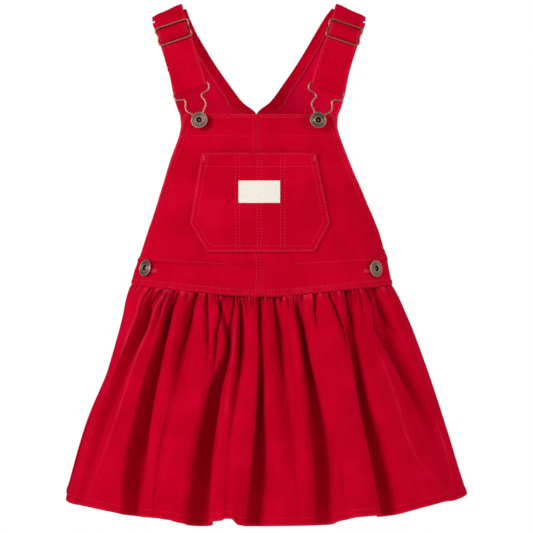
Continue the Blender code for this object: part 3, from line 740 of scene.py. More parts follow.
# %% The back's surface
NECK_FACING = 9.0
BACK_EDGES = np.array([
    # height, depth, neck_edge, arm_edge, sway of the V's point and seam to the left
    (-4.5, 15, 72.6, 105.6, 0),
    (-14, 30, 68.4, 103, 1.6),
    (-33, 46, 59.3, 98, 2.7),
    (-60, 55, 43.8, 91, 2.8),
    (-82, 59, 27.3, 87, 2.8),
    (-95, 60.2, 14.8, 83.5, 2.8),
    (-104, 60.6, HALF_SEAM, 80.2, 2.8),
    (-117, 61, HALF_SEAM, 79.6, 2.2),
    (-147, 61.5, HALF_SEAM, 87.5, 0),
    (-184, 61.5, HALF_SEAM, 99, 0),
    (-216, 61.8, HALF_SEAM, 110.5, 0),
    (-236, 62.2, HALF_SEAM, 118.6, 0),
    (-240.5, 62.3, HALF_SEAM, 121.2, 0),
    (-243.5, 62.4, HALF_SEAM, 122.9, 0),
    (-245, 62.5, HALF_SEAM, 124, 0),
])
SHOULDER_SLOPE, SHOULDER_CENTRE, SLOPE_FADES_BY = math.tan(math.radians(25)), 90.8, -104.0
BACK_ROWS, BACK_COLUMNS = 190, 92


def back_half(side):
    """As the front, but its depth bends forward near the shoulder, and heights tilt outwards."""
    top = BACK_EDGES[0, 0]
    height = top + (WAIST - top) * np.linspace(0, 1, BACK_ROWS) ** 1.1
    depth, neck, arm, sway = smooth(BACK_EDGES[:, 0], BACK_EDGES[:, 1:], np.maximum(height, UNDERARM)).T
    neck = neck - side * sway
    half, _, low_depth, power, lean = body_section(np.minimum(height, BODY[0, 0]))
    low = height[:, None] <= UNDERARM
    depth = np.where(low, low_depth, depth[:, None])
    arm = np.where(low, half, arm[:, None])
    first, last = (angle_across(edge, half, depth, power) for edge in (neck[:, None], arm))
    angle = first + (last - first) * np.linspace(0, 1, BACK_COLUMNS)
    across, backward, _ = on_section(angle, half, depth, power)
    fade = np.clip(1 - height / SLOPE_FADES_BY, 0, 1)[:, None] ** 0.7
    level = height[:, None] + SHOULDER_SLOPE * (SHOULDER_CENTRE - across) * fade
    grid = np.stack([side * across + lean, backward, level], -1) * MM
    return height, neck, arm[:, 0], grid[:, ::-1] if side > 0 else grid


BACK_CREASES = np.array([
    # from_across, from_height, to_across, to_height, width, depth
    (-70, -60, -60, -120, 9, 0.8),
    (66, -50, 58, -124, 9, 0.9),
    (-20, -120, -48, -190, 10, 0.9),
    (24, -130, 50, -200, 10, 0.8),
    (-90, -170, -70, -220, 9, 0.8),
    (92, -176, 74, -226, 9, 0.9),
    (-40, -226, 10, -240, 7, 0.6),
    (30, -222, 70, -246, 7, 0.6),
])


def back_relief(side, height, neck, arm, grid):
    """As for the front, with the V neck's turned edge in place of the bib's top."""
    run, fall = run_and_fall(grid)
    to_neck = in_from(run, side < 0) / slant_of(neck, height)[:, None]
    to_arm = in_from(run, side > 0) / slant_of(arm, height)[:, None]
    to_waist = fall[-1:] - fall
    armhole = step(height - UNDERARM + 1, 1.0)[:, None]
    v_neck = step(height - SLOPE_FADES_BY, 0.8)[:, None]
    relief = armhole * turned_edge(to_arm, fall, EDGE_STITCH, 53 + side)
    relief += v_neck * turned_edge(to_neck, fall, EDGE_STITCH, 59 + side)
    relief += (1 - v_neck) * (0.35 * bump(to_neck - 3, 2.2) - 0.9 * bump(to_neck, 0.9))
    relief += sewn_waist(run, to_waist, 61 + side) - creased(grid, BACK_CREASES)
    relief += 0.5 * wander(grid[..., 0] / MM, height[:, None], 40, 44, 67)
    wear_and_painted_light = armhole * bump(to_arm - 1, 1.3) + v_neck * bump(to_neck - 1, 1.3)
    return relief * MM, EDGE_WEAR_AND_HIGHLIGHT * wear_and_painted_light * patchy(run, fall, 71)


# %% The two halves of the back, and the facings on their inside
SHOULDER_FREE = -8.0  # stitches stop short of the shoulder's end, in millimetres of height
FACING_STITCHED_AT, FACING_MOST_SLANT, FACING_ENDS, FACING_COLUMNS = 0.85, 1.9, -112.0, 14
FACING_GAP = 0.35 * MM
back_grids = {}
for name, side in SIDES.items():
    height, neck, arm, grid = back_half(side)
    relief, wear_and_painted_light = back_relief(side, height, neck, arm, grid)
    run, fall = run_and_fall(grid)
    grid = lifted(grid, relief)
    made = cloth("back_cloth_" + name, grid, wear_and_painted_light=wear_and_painted_light)
    stands_for(made, "back_" + name, flat=(0.169, 0.313), held="hung", area=0.0254)

    rows, at_left = np.arange(BACK_ROWS), side < 0
    above = (height > UNDERARM + 2) & (height < SHOULDER_FREE)
    arm_column = columns_in(run, EDGE_STITCH * slant_of(arm, height), not at_left)
    sew("back", grid, rows[above], arm_column[above])
    in_v = (height > SLOPE_FADES_BY + 3) & (height < SHOULDER_FREE)
    neck_slant = slant_of(neck, height)
    neck_column = columns_in(run, NECK_FACING * FACING_STITCHED_AT * neck_slant, at_left)
    sew("neck", grid, rows[in_v], neck_column[in_v])
    for stitch in WAIST_STITCHES:
        sew_above_hem("waist", grid, fall, stitch)
    if at_left:
        down = rows[(height < SLOPE_FADES_BY - 4) & (rows < BACK_ROWS - 2)]
        for inset in CENTRE_STITCHES:
            sew("back", grid, down, columns_in(run, inset, True)[down])

    back_grids[name] = grid
    strip = np.flatnonzero(height > FACING_ENDS)
    width = NECK_FACING * np.minimum(neck_slant, FACING_MOST_SLANT)[strip]
    places = [columns_in(run[strip], (share if at_left else 1 - share) * width, at_left)
              for share in np.linspace(0, 1, FACING_COLUMNS)]
    facing, outward = line_on(grid, strip[:, None], np.stack(places, -1))
    facing = facing - outward * (CLOTH + FACING_GAP)
    free = in_from(lengths(facing, 1) / MM, not at_left)
    facing = lifted(facing, -0.5 * MM * bump(free - 1.5, 1.5))
    made = cloth("neck_facing_cloth_" + name, facing, wall=1.0 * MM, faces=(corduroy, corduroy),
                 wear_and_painted_light=0.25 * bump(free, 1.2))
    stands_for(made, "neck_facing_" + name, flat=(0.011, 0.151), held="hung", area=0.0016)
print("back halves:", grid.shape)

# %% [markdown]
# ## The button stand
# A strip of cloth lies behind each side opening, and the side button is riveted to it. Only its
# edge could ever be seen, so it stays plain: it is the waist's own surface, moved one wall in.

# %% The button stands behind the side openings
STAND_FRONT, STAND_BACK, STAND_GAP = 0.66, 0.10, 0.5 * MM  # shares of each panel's width, and a gap
STAND_TOP, STAND_BOTTOM = -246.5, WAIST + 3.5


def behind(grid, rows, columns):
    """The cloth's own points at these rows and columns, moved in by one wall and a gap."""
    points, outward = line_on(grid, rows[:, None], columns[None])
    return points - outward * (CLOTH + STAND_GAP)


for name, side in SIDES.items():
    front, back = front_grids[name], back_grids[name]
    rows = np.linspace(STAND_TOP, STAND_BOTTOM, 14)
    front_columns = np.linspace(0, STAND_FRONT, 40) * (FRONT_COLUMNS - 1)
    back_columns = np.linspace(STAND_BACK, 0.01, 6) * (BACK_COLUMNS - 1)
    if side > 0:
        front_columns = FRONT_COLUMNS - 1 - front_columns[::-1]
        back_columns = back_columns[::-1]
    else:
        back_columns = BACK_COLUMNS - 1 - back_columns
    front_rows = np.interp(-rows, -front_half(side)[0], np.arange(FRONT_ROWS))
    back_rows = np.interp(-rows, -back_half(side)[0], np.arange(BACK_ROWS))
    parts = [behind(front, front_rows, front_columns), behind(back, back_rows, back_columns)]
    grid = np.concatenate(parts[::-1] if side < 0 else parts, axis=1)
    made = cloth("button_stand_" + name, grid, faces=(corduroy, corduroy))
    stands_for(made, "placket_" + name, flat=(0.105, 0.0215), held="hung")

# %% [markdown]
# ## The pocket
# The patch pocket has cut lower corners. Its mouth is a turned band with one row of stitches, its
# other edges are turned under and sewn twice, and three double rows run down it. It lies on the
# bib, so its surface is the bib's, raised by a wall, with its edges rolled down onto it.

# %% The pocket's surface
POCKET_ROWS, POCKET_COLUMNS, MIDDLE = 72, 96, 48
POCKET_EDGE = np.array([
    # height, half_width
    (-138, 54.4), (-204, 66.7), (-231.5, 51.5),
])
POCKET_LIFT, POCKET_BAND = 2.5, 13.0
POCKET_ROWS_OF_STITCHES, POCKET_RIDGES = (1.6, 6.0), (-20.1, 0.5, 22.9)
POCKET_PAIRS = (-22.0, -18.2, -1.4, 2.3, 20.9, 24.8)
height = np.linspace(POCKET_EDGE[0, 0], POCKET_EDGE[-1, 0], POCKET_ROWS)
half = np.interp(-height, -POCKET_EDGE[:, 0], POCKET_EDGE[:, 1])
base = front_points(height, -half, half, POCKET_COLUMNS)
run, fall = run_and_fall(base)
x, z = base[..., 0] / MM, height[:, None]
slant = slant_of(half, height)[:, None]
to_top, to_bottom = fall, fall[-1:] - fall
to_side = np.minimum(run, run[:, -1:] - run) / slant
to_edge = np.minimum(to_side, to_bottom)
lie = POCKET_LIFT + 1.2 * np.clip(to_edge / 20, 0, 1) * np.clip(to_bottom / 30, 0, 1)
lie += 0.45 * wander(x, z, 26, 30, 79) * np.clip(to_edge / 12, 0, 1) - creased(base, BIB_CREASES)
relief = lie - 0.5 * np.exp(-to_edge / 0.8) + 0.35 * bump(to_edge - 3.6, 2.0)
relief += 0.5 * bump(to_top - 1.5, 2.5) - 0.35 * bump(to_top - POCKET_BAND, 1.1)
relief += 0.25 * step(POCKET_BAND - to_top, 0.8)
for stitch in POCKET_ROWS_OF_STITCHES:
    relief -= 0.3 * bump(to_edge - stitch, 0.9)
for line in POCKET_PAIRS:
    relief -= 0.32 * bump(x - line, 0.9)
for ridge in POCKET_RIDGES:
    relief += 0.22 * bump(x - ridge, 1.4)
relief += 0.3 * pucker(to_edge - 4, run + fall, 4.5, 71) + 0.2 * pucker(to_top - POCKET_BAND, run, 4, 73)
relief += 0.15 * wander(x, z, 8, 11, 83)
wear_and_painted_light = 0.25 * (bump(to_edge - 0.4, 1.2) + bump(to_top - 0.3, 1.0)) * patchy(run, fall, 89)
pocket_grid, pocket_lie = lifted(base, relief * MM), lifted(base, lie * MM)
made = cloth("pocket_cloth", pocket_grid, wear_and_painted_light=wear_and_painted_light, wall=1.1 * MM)
stands_for(made, "pocket", flat=(0.137, 0.100), held="hung", area=0.0119)
rows, every = np.arange(POCKET_ROWS), np.arange(POCKET_COLUMNS)
for stitch in POCKET_ROWS_OF_STITCHES:
    inset = stitch * slant[:, 0]
    down = rows[(fall[:, MIDDLE] > 1) & (fall[-1, MIDDLE] - fall[:, MIDDLE] > stitch)]
    for from_left in (True, False):
        sew("pocket", pocket_grid, down, columns_in(run, inset, from_left)[down])
    level = rows_at(fall, fall[-1] - stitch)
    inner = every[to_side[-3] > stitch]
    sew("pocket", pocket_grid, level[inner], inner)
sew("pocket", pocket_grid, rows_at(fall, POCKET_BAND)[3:-3], every[3:-3])
down = rows[2:-2]
for line in POCKET_PAIRS:
    sew("pocket", pocket_grid, down, columns_at(x, line)[down])
print("pocket:", pocket_grid.shape)

# %% [markdown]
# ## The bare label
# A short woven tape is sewn on the pocket, below its band. It is cream and has nothing on it. It
# follows the pocket, so its points are read from the pocket's grid at the label's own places.


# %% Finding a place on a grid
def find_on(grid, x, z):
    """Fractional rows and columns where the grid is this far across and high, all in metres: the
    nearest grid point, then three Newton steps on the grid's own slopes."""
    x, z = np.broadcast_arrays(np.asarray(x, float), np.asarray(z, float))
    far = np.hypot(grid[..., 0][..., None] - x.ravel(), grid[..., 2][..., None] - z.ravel())
    near = far.reshape(-1, x.size).argmin(axis=0)
    row, column = (near // grid.shape[1]).astype(float), (near % grid.shape[1]).astype(float)
    slopes = [np.gradient(grid, axis=axis) for axis in (0, 1)]
    for _ in range(3):
        place = read_grid(grid, row, column)
        down, right = (read_grid(slope, row, column) for slope in slopes)
        miss_x, miss_z = x.ravel() - place[:, 0], z.ravel() - place[:, 2]
        area = down[:, 0] * right[:, 2] - down[:, 2] * right[:, 0]
        row += (miss_x * right[:, 2] - miss_z * right[:, 0]) / area
        column += (down[:, 0] * miss_z - down[:, 2] * miss_x) / area
    return row.reshape(x.shape), column.reshape(x.shape)


# %% The label on the pocket
LABEL_TOP, LABEL_WIDTH, LABEL_HEIGHT, LABEL_ASIDE = -163.5, 39.3, 20.8, 0.6
LABEL_ROWS, LABEL_COLUMNS = 32, 60
across = np.linspace(-0.5, 0.5, LABEL_COLUMNS) * LABEL_WIDTH + LABEL_ASIDE
height = LABEL_TOP - np.linspace(0, LABEL_HEIGHT, LABEL_ROWS)
places = find_on(pocket_lie, across[None] * MM, height[:, None] * MM)
label_grid, outward = line_on(pocket_lie, *places)
to_edge = np.minimum(across - across[0], across[-1] - across)[None]
puff = 0.75 + 0.12 * wander(across[None], height[:, None], 7, 9, 97) - 0.25 * bump(to_edge - 1.6, 1.0)
label_grid = label_grid + outward * (puff * MM)[..., None]
made = cloth("label_tape", label_grid, wall=0.5 * MM, faces=(tape, tape))
stands_for(made, "label", "label", flat=(0.0395, 0.021), held="hung", rests_on=["pocket_cloth"])
print("label:", label_grid.shape)

# %% [markdown]
# ## The skirt
# Two panels, each about twice as wide as its half of the waist, are gathered into the seam. The
# photograph is followed fold by fold: one table gives where each crest and trough is seen at five
# levels down the cloth, how far it stands out, how much longer it hangs than the rest, and how steep
# the wall to its left is. A wall above 1 overhangs, as the heavy folds do. A simulation would gather
# the cloth too, but its folds would fall where they liked.

# %% Folds of the skirt, left to right, in millimetres
SKIRT = np.array([
    # level, half_width, front, back, power, lean
    (0.00, 130.5, 67, 62.5, 3, 2.4),
    (0.22, 147, 78, 73, 2.7, 7),
    (0.45, 162.7, 89, 84, 2.5, 8.5),
    (0.70, 181, 100, 95, 2.4, 7.5),
    (1.00, 201, 110, 106, 2.3, 7.5),
])
FOLDS = np.array([
    # at0, at1, at2, at3, at4, out0, out1, out2, out3, out4, longer, wall to its left
    (-114, -131, -153, -172, -188, 1, 3, 4, 4, 3, -4, 0),
    (-104, -117, -137, -158, -179, -3, -12, -9, -6, -3, -4, 0),
    (-97, -113.5, -133.5, -154.5, -174, 2, 4, 6, 7, 7, -6, 0.5),
    (-90, -103, -121, -136, -142, 2, 4, 6, 6, 6, -4, 0),
    (-85, -93.5, -103.5, -114, -126, -4, -12, -18, -19, -15, -2, 0.6),
    (-79, -87.5, -96, -105, -110, 2, 5, 9, 10, 9, -3, 0.9),
    (-63, -71, -82, -97, -106, -4, -11, 2, 6, 8, -3, 0),
    (-57, -64, -71, -83, -92, 2, 5, 9, 12, 11, -2, 0.6),
    (-46, -38, -60, -73, -83, 2, 4, 10, 11, 10, 0, 0),
    (-40, -30.5, -45, -54, -62, -4, -7, -17, -19, -18, 4, 1.2),
    (-25, -24.5, -30, -36, -38, 2, 4, 8, 10, 10, -3, 1.3),
    (-18, -17.5, -23, -29, -33, -4, -8, 1, 8, 9, -5, 0.3),
    (-10, -9, -15, -22, -28, 2, 4, 9, 12, 12, -5, 0.3),
    (-4, -3, -5.5, -11.5, -20, 2, 4, 8, 9, 9, 1, 0),
    (2, 2, 1.5, -1, -7, -4, -4, -16, -19, -17, 3, 1.4),
    (8, 9, 9, 17, 25, 1, 2, 3, 4, 5, 2, 0.1),
    (17, 24, 31, 36, 40, -4, -11, -9, -1, 4, 2, 0.3),
    (30, 38, 43, 45, 48, 2, 4, 5, 6, 6, 2, 0.5),
    (37, 46, 55.5, 65, 67, -3, -11, -17, -18, -16, 3, 0.6),
    (44, 53, 67, 80, 88, 2, 5, 9, 11, 10, -2, 0.9),
    (62, 69, 79, 91, 102, 1, 6, 10, 12, 12, -4, 0),
    (78, 82, 90, 102, 114, 2, 5, 9, 10, 10, -4, 0),
    (88, 95, 101, 113.5, 130, -4, -9, -18, -18, -14, -1, 1.2),
    (97, 104, 113, 133, 150, 2, 4, 5, 6, 6, -4, 0.1),
    (104, 115, 136, 159, 187, 2, 4, 6, 7, 6, -7, 0),
    (114, 127, 149, 173, 197, -3, -11, -7, -3, 3, -5, 0),
    (125, 146, 166, 186, 204, 1, 3, 4, 4, 2, -4, 0),
])
HEM_CENTRE, HEM_LEFT, HEM_RIGHT = -488.0, -487.0, -481.0
COLUMNS_PER_FOLD = 16
LEVELS = ((0, 0.27, 46), (0.27, 0.95, 40), (0.95, 1, 11))  # rows from, to, how many: finest at the ends
WALL_GROWS = (0.0, 0.8, 1.0, 1.0, 1.0)  # of each wall's steepness, at the five levels
EYE_HEIGHT, EYE_DISTANCE = -85.5, 1800.0

# %% [markdown]
# ### Gathers and crisp creases
# Under the seam the cloth bunches into narrow slots with plump ridges between them. They are read off
# the photograph as it shows them: how far from the centre line each one is seen at five distances below
# eye level. The last entries say where it starts and ends, how wide it is, how deep, and how pale. A
# negative depth makes a ridge. Along each narrow slot painted shade darkens the cloth's colour, more
# where it is deeper. The last few rows are the creases that the pressed cloth keeps along its folds,
# thin and pale: worn pile and a painted highlight.

# %% Slots and creases, as they are seen from the front
SEEN_DOWN = np.array([190.0, 212.0, 232.0, 257.0, 302.0, 352.0, 402.0])
SEAM_RISE, RISE_ACROSS = 7.0, 110  # the seam is seen this much higher, this far from the centre
# Of these, the third is how much painted shade darkens the cloth's colour along a narrow slot, for each
# unit of its depth.
SLOT_DEPTH, SLOT_WIDTH, SLOT_PAINTED_SHADE = 2.3, 0.62, 0.34  # what the table's depths and widths stand for
SWELL, SWELL_DOWN, SWELL_WIDTH = 4.0, 14, 13  # the gathered cloth stands out below the seam
SMALL_GATHERS = ((4.4, 30, 101, 0.15), (2.7, 14, 103, 0.2))  # spacing, length, seed, sharpness
# The last of these is how wide a crease's pale line is: worn pile and a painted highlight.
PLEAT_DEPTH, PLEAT_FALL, TUCK_DEPTH, TUCK_FALL, CREASE_PALE_WIDTH = 5.2, 14, 3.0, 7, 0.9
SLOTS = np.array([
    # seen across at each of the seven heights, start, end, width, depth, paleness from wear and painted
    # highlight
    (-99, -111.5, -116.5, -129, -137, -150, -160, 195, 266, 3, 3.4, 0),
    (-91, -99, -106.5, -115, -125, -135, -145, 195, 250, 2, 2, 0),
    (-80, -87.5, -93, -102, -116, -126, -134, 195, 262, 2.8, 3.2, 0),
    (-70, -77.5, -83, -88, -96, -104, -112, 194, 216, 2, 2, 0),
    (-61, -67, -72, -79, -88, -94, -101, 194, 274, 2.6, 3.6, 0),
    (-53, -52.4, -52.3, -52, -56, -62, -70, 194, 292, 2.8, 4, 0),
    (-46.5, -46.5, -46, -45, -44, -44, -44, 194, 204, 1.8, 1.6, 0),
    (-40, -39, -42, -44.5, -51, -60, -68, 200, 310, 2.8, 4, 0),
    (-34, -34, -34, -34, -34, -34, -34, 194, 203, 1.8, 1.6, 0),
    (-23, -26, -29, -32, -42, -50, -58, 196, 280, 2.4, 3.4, 0),
    (-19, -18, -18.5, -19, -23, -32, -40, 200, 290, 2.4, 3, 0),
    (-15, -12, -10, -10, -10, -10, -10, 195, 225, 1.8, 2.6, 0),
    (-6, -5, -4, -4, -4, -4, -4, 195, 212, 1.6, 2.2, 0),
    (2, 0.3, -0.5, 0.5, 0, -4, -8, 196, 252, 2.4, 3.8, 0),
    (9, 9, 9, 9, 9, 9, 9, 195, 209, 1.7, 2.4, 0),
    (14, 16.5, 19.5, 22, 28, 32, 36, 195, 300, 3, 3.6, 0),
    (22.5, 23, 25, 27, 30, 31, 32, 195, 210, 1.9, 3.4, 0),
    (29, 30.5, 32, 33, 34, 35, 36, 196, 214, 1.8, 2.4, 0),
    (35.5, 38.5, 43.5, 49.5, 58, 64, 68, 204, 300, 2.6, 3.2, 0),
    (43, 43.5, 44, 44, 44, 44, 44, 195, 209, 1.7, 2.8, 0),
    (56.5, 56.5, 60, 63, 66, 70, 74, 193, 236, 2.3, 3.8, 0),
    (65, 65, 65, 65, 65, 65, 65, 192, 202, 1.6, 1.4, 0),
    (69, 78, 85.5, 91, 100, 110, 120, 192, 264, 2.4, 4, 0),
    (78, 81, 86, 92, 98, 104, 110, 190, 205, 1.8, 1.8, 0),
    (87, 90, 97, 104, 112, 120, 130, 192, 236, 2.2, 3.4, 0),
    (93, 94, 96, 99, 104, 110, 116, 190, 210, 1.8, 2.6, 0),
    (100, 104, 112, 118, 124, 130, 136, 190, 226, 2.2, 1.6, 0),
    (109, 116, 121.5, 134.5, 158, 172, 186, 190, 310, 3.8, 3, 0),
    (116, 123, 136, 150, 166, 178, 190, 190, 262, 3.6, 2.6, 0),
    (-114, -121, -130, -139, -158, -173, -187, 186, 300, 1.5, -0.9, 0.6),
    (-107, -117, -129, -138, -150, -166, -182, 188, 262, 1.5, -0.7, 0.4),
    (-92, -104, -112, -123, -138, -155, -174, 188, 412, 1.6, -0.8, 0.6),
    (-87, -96, -105, -112, -124, -132, -140, 188, 250, 1.6, -0.6, 0.4),
    (-24, -21.5, -24, -26, -32, -40, -46, 194, 390, 1.5, -0.5, 0.3),
    (80, 92, 106, 122, 139, 155, 194, 262, 412, 1.5, -0.7, 0.45),
    (80, 84, 89, 93, 104, 118, 134, 240, 300, 1.4, -0.4, 0.3),
    (150, 152, 156, 162, 172, 188, 199, 330, 405, 1.5, -0.5, 0.3),
    (-99, -109, -120, -129, -146, -162, -178, 212, 370, 9, 1.3, 0),
    (100, 108, 120, 136, 157, 176, 196, 225, 370, 9, 1.6, 0),
    (76, 76, 76, 78, 79, 82, 87, 365, 425, 1.6, 0.7, 0),
    (-90, -90, -90, -90, -90, -92, -106, 386, 425, 1.8, 0.3, 0),
])


def seen(grid):
    """Across and down from eye level as a point is seen, scaled to the plane of the side seams."""
    near = 1 + grid[..., 1] / MM / EYE_DISTANCE
    return grid[..., 0] / MM / near, (EYE_HEIGHT - grid[..., 2] / MM) / near


def skirt_grid(back):
    """Outer face, cloth map across and down, where the front or back panel is pale from wear and painted
    highlight, and where it is dark with painted shade. A point's column q counts folds, so between two
    knots its share u runs from 0 to 1; its place across is read at q + wall sin(2 pi u) / (2 pi), and
    how far it stands out is read at q itself."""
    depth_column = 3 if back else 2
    sections = SKIRT[:, [1, depth_column, 4, 5]]
    samples = np.radians(np.linspace(-90, 90, 721))
    angles = []
    for row, at, out in zip(sections, FOLDS[:, :5].T, FOLDS[:, 5:10].T):
        across, forward, outward = on_section(samples, *row[:3])
        across = across + (0 if back else row[3]) + out[:, None] * outward[0]
        near = 1 - (forward + out[:, None] * outward[1]) / EYE_DISTANCE
        angles.append([np.interp(*fold, samples) for fold in zip(at, across / near)])
    ends = (math.pi / 2 - HALF_SEAM / sections[:, 1])[None]
    angles = np.concatenate([-ends, np.array(angles).T, ends])
    padded = np.pad(FOLDS[:, 5:], ((1, 1), (0, 0)))
    knots = np.arange(len(angles))
    column = np.linspace(0, knots[-1], COLUMNS_PER_FOLD * knots[-1] + 1)
    wall = padded[np.minimum(column.astype(int) + 1, knots[-1]), 6]
    shift = wall * np.sin(2 * math.pi * (column % 1)) / (2 * math.pi)
    levels = np.unique(np.concatenate([np.linspace(*part) for part in LEVELS]))
    angle = np.stack([smooth(knots, at, column + shift * grows)
                      for at, grows in zip(angles.T, WALL_GROWS)])
    angle = smooth(SKIRT[:, 0], angle, levels)
    out = smooth(SKIRT[:, 0], smooth(knots, padded[:, :5], column).T, levels)
    longer = smooth(knots, padded[:, 5], column)
    half, depth, power, lean = (smooth(SKIRT[:, 0], c, levels)[:, None] for c in sections.T)
    across, forward, outward = on_section(angle, half, depth, power)

    turn = -np.sin(angle) if back else np.sin(angle)
    waist = WAIST - 2 * HALF_SEAM - (0 if back else waist_drop(WAIST, np.cos(angle)))
    hem = HEM_CENTRE + (np.where(turn < 0, HEM_LEFT, HEM_RIGHT) - HEM_CENTRE) * turn**2 - longer
    flare = (SKIRT[-1, depth_column] - SKIRT[0, depth_column]) / (WAIST - HEM_CENTRE)

    def standing(out):
        """The grid when it stands out this far from the plain section, in millimetres."""
        height = waist + (hem - waist) * levels[:, None] + levels[:, None] * flare * out
        return np.stack([across + out * outward[0] + lean, -forward - out * outward[1], height],
                        -1) * MM

    grid = standing(out)
    fall = lengths(grid, 0) / MM
    at, down = seen(grid)
    relief, wear_and_painted_light = np.zeros_like(at), np.zeros_like(at)
    patches = 0.6 + 0.4 * wander(down, at, 9, 400, 5)
    for slot in SLOTS:
        start, end, width, deep, pale = slot[7:]
        start = start - SEAM_RISE * (slot[0] / RISE_ACROSS) ** 2
        line = smooth(SEEN_DOWN, slot[:7], down)
        reach = np.clip((down - start) / 4, 0, 1) * np.clip((end - down) / (0.6 * (end - start)), 0, 1)
        if deep > 0:
            narrow = np.exp(-np.abs(at - line) / (SLOT_WIDTH * width))
            relief -= SLOT_DEPTH * deep * reach * narrow
            # Painted shade: the colour darkens along each narrow slot, more where it is deep.
            wear_and_painted_light -= SLOT_PAINTED_SHADE * deep * reach * narrow**2 if width < 5 else 0
        else:
            relief -= deep * reach * bump(at - line, width)
        # A crease's pale line is worn pile and a painted highlight.
        wear_and_painted_light += pale * reach * bump(at - line, CREASE_PALE_WIDTH) * patches
    gathered = 1 - np.abs(turn) ** 8
    seam_run = lengths(grid, 1)[:1] / MM
    pleat, tuck = (np.exp(-np.abs(wander(seam_run, fall, spacing, length, seed + back)) / sharpness)
                   for spacing, length, seed, sharpness in SMALL_GATHERS)
    hang = lengths(grid, 1)[-1] / MM
    hang = hang - hang[len(hang) // 2]
    relief += gathered * SWELL * bump(fall - SWELL_DOWN, SWELL_WIDTH)
    relief -= gathered * (PLEAT_DEPTH * pleat * np.exp(-fall / PLEAT_FALL)
                          + TUCK_DEPTH * tuck * np.exp(-fall / TUCK_FALL))
    relief += 0.5 * wander(hang[None], fall, 30, 60, 105 + back) * np.clip(fall / 60, 0, 1)
    relief -= 0.8 * np.exp(-fall / 1.2)
    to_hem = fall[-1:] - fall
    relief += 0.5 * bump(to_hem - 3, 3.2) - 0.4 * bump(to_hem - HEM_STITCH, 1.3)
    relief += 0.35 * pucker(to_hem - HEM_STITCH, hang[None], 5, 107 + back)
    relief += 0.8 * bump(to_hem, 14) * wander(hang[None], to_hem, 17, 30, 109 + back)
    grid = standing(out + relief)
    wear_and_painted_light += 0.35 * bump(to_hem - 0.4, 1.0) * patchy(hang[None], fall, 111)
    # Painted highlight: the ridge tops just under the seam are paled.
    wear_and_painted_light += 0.7 * gathered * np.exp(-fall / 3) * (1 - np.maximum(pleat, tuck)) ** 2
    # Painted shade: the colour darkens deep in the small pleats and tucks.
    wear_and_painted_light -= 0.9 * gathered * np.maximum(pleat * np.exp(-fall / 12), tuck * np.exp(-fall / 6)) ** 2
    if back:
        grid = grid * (-1, -1, 1) + np.stack([2 * lean * MM, 0 * lean, 0 * lean], -1)
    map_across = np.broadcast_to(hang[None] * MM, grid.shape[:2])
    return grid, map_across, lengths(grid, 0), np.clip(wear_and_painted_light, -1, 1)


# %% The front and back of the skirt
HEM_STITCH = 7.0
for name, back in (("front", False), ("back", True)):
    grid, map_across, map_down, wear_and_painted_light = skirt_grid(back)
    made = cloth("skirt_cloth_" + name, grid, map_across, map_down, wear_and_painted_light=0.6 * wear_and_painted_light)
    stands_for(made, "skirt_" + name, flat=(0.700, 0.226), held="gathered")
    sew_above_hem("skirt", grid, lengths(grid, 0) / MM, HEM_STITCH)
    print("skirt", name, grid.shape, "width along the hem", round(float(np.ptp(map_across)), 3))

# %% [markdown]
# ## The straps
# Each strap is corduroy folded double and stitched along both sides. It comes over the shoulder,
# waves through its slider, runs down to the hook, turns round the wire and comes back up behind
# itself to the slider's bar. It is one path with a width at each station, and its section is a flat
# oval with a groove where the stitches pull it in.

# %% The strap's path, in millimetres, for the left strap
SLIDER_CENTRE = np.array([-82.4, -24.5, -22.0])
BUTTON_NECK = np.array([-56.2, -53.2, -107.4])
STRAP_ACROSS = np.array([0.95, -0.08, 0.30])
STRAP_FRONT = np.array([
    # down, lift, half_width
    (-9.6, 2, 14.9), (-7.4, 2.5, 14.6), (-5.8, 4.7, 14.5), (-4.2, 7, 14.5), (0, 9.4, 14.5),
    (4.2, 7, 14.5), (5.8, 4.7, 14.5), (7.4, 2.5, 14.6), (9.6, 2, 14.9), (18, 1.9, 16),
    (37, 2.2, 16), (55.3, 2.3, 16), (59.1, 1.7, 16), (60.7, 0, 16),
    (59.1, -1.7, 16), (55.3, -2.3, 16), (37, -2.2, 16), (18, -1.6, 15.6),
    (7, -0.4, 14.4), (1.2, 1.5, 13.6), (-2, 2.8, 13.6), (-2.6, 4.6, 13.6), (-1.4, 6.4, 13.6),
])
STRAP_OVER_SHOULDER = np.array([
    # across, depth, height, half_width
    (-91.8, 14.4, -3.6, 15.6), (-91.3, 7, 0.2, 15.8), (-90.8, 0, 1, 16),
    (-89.6, -7.5, -0.6, 16),
])
SHOULDER_ACROSS = np.array([1.0, 0.0, SHOULDER_SLOPE])
STRAP_WALL, STRAP_STITCH, STRAP_SEWN_FROM, STRAP_SEWN_TO = 2.0, 2.6, 6, 103


def mirror(side):
    """Signs that turn the left side's points into this side's."""
    return np.array([-side, 1, 1])


def strap_plane(side):
    """Origin of the strap's plane and its directions across, down and out."""
    down = unit(BUTTON_NECK - SLIDER_CENTRE)
    across = unit(STRAP_ACROSS - STRAP_ACROSS.dot(down) * down)
    return SLIDER_CENTRE * mirror(side), np.array([across, down, np.cross(down, across)]) * mirror(side)


def in_plane(side, places):
    """Points, in metres, of places given as across, down and lift in the strap's plane."""
    origin, directions = strap_plane(side)
    return (origin + np.asarray(places) @ directions) * MM


def catmull(knots, values, at):
    """Smooth curve through the values: each knot's slope comes from its two neighbours."""
    return hermite(knots, values, np.gradient(values, knots, axis=0), at)


# %% A skin over rings of points


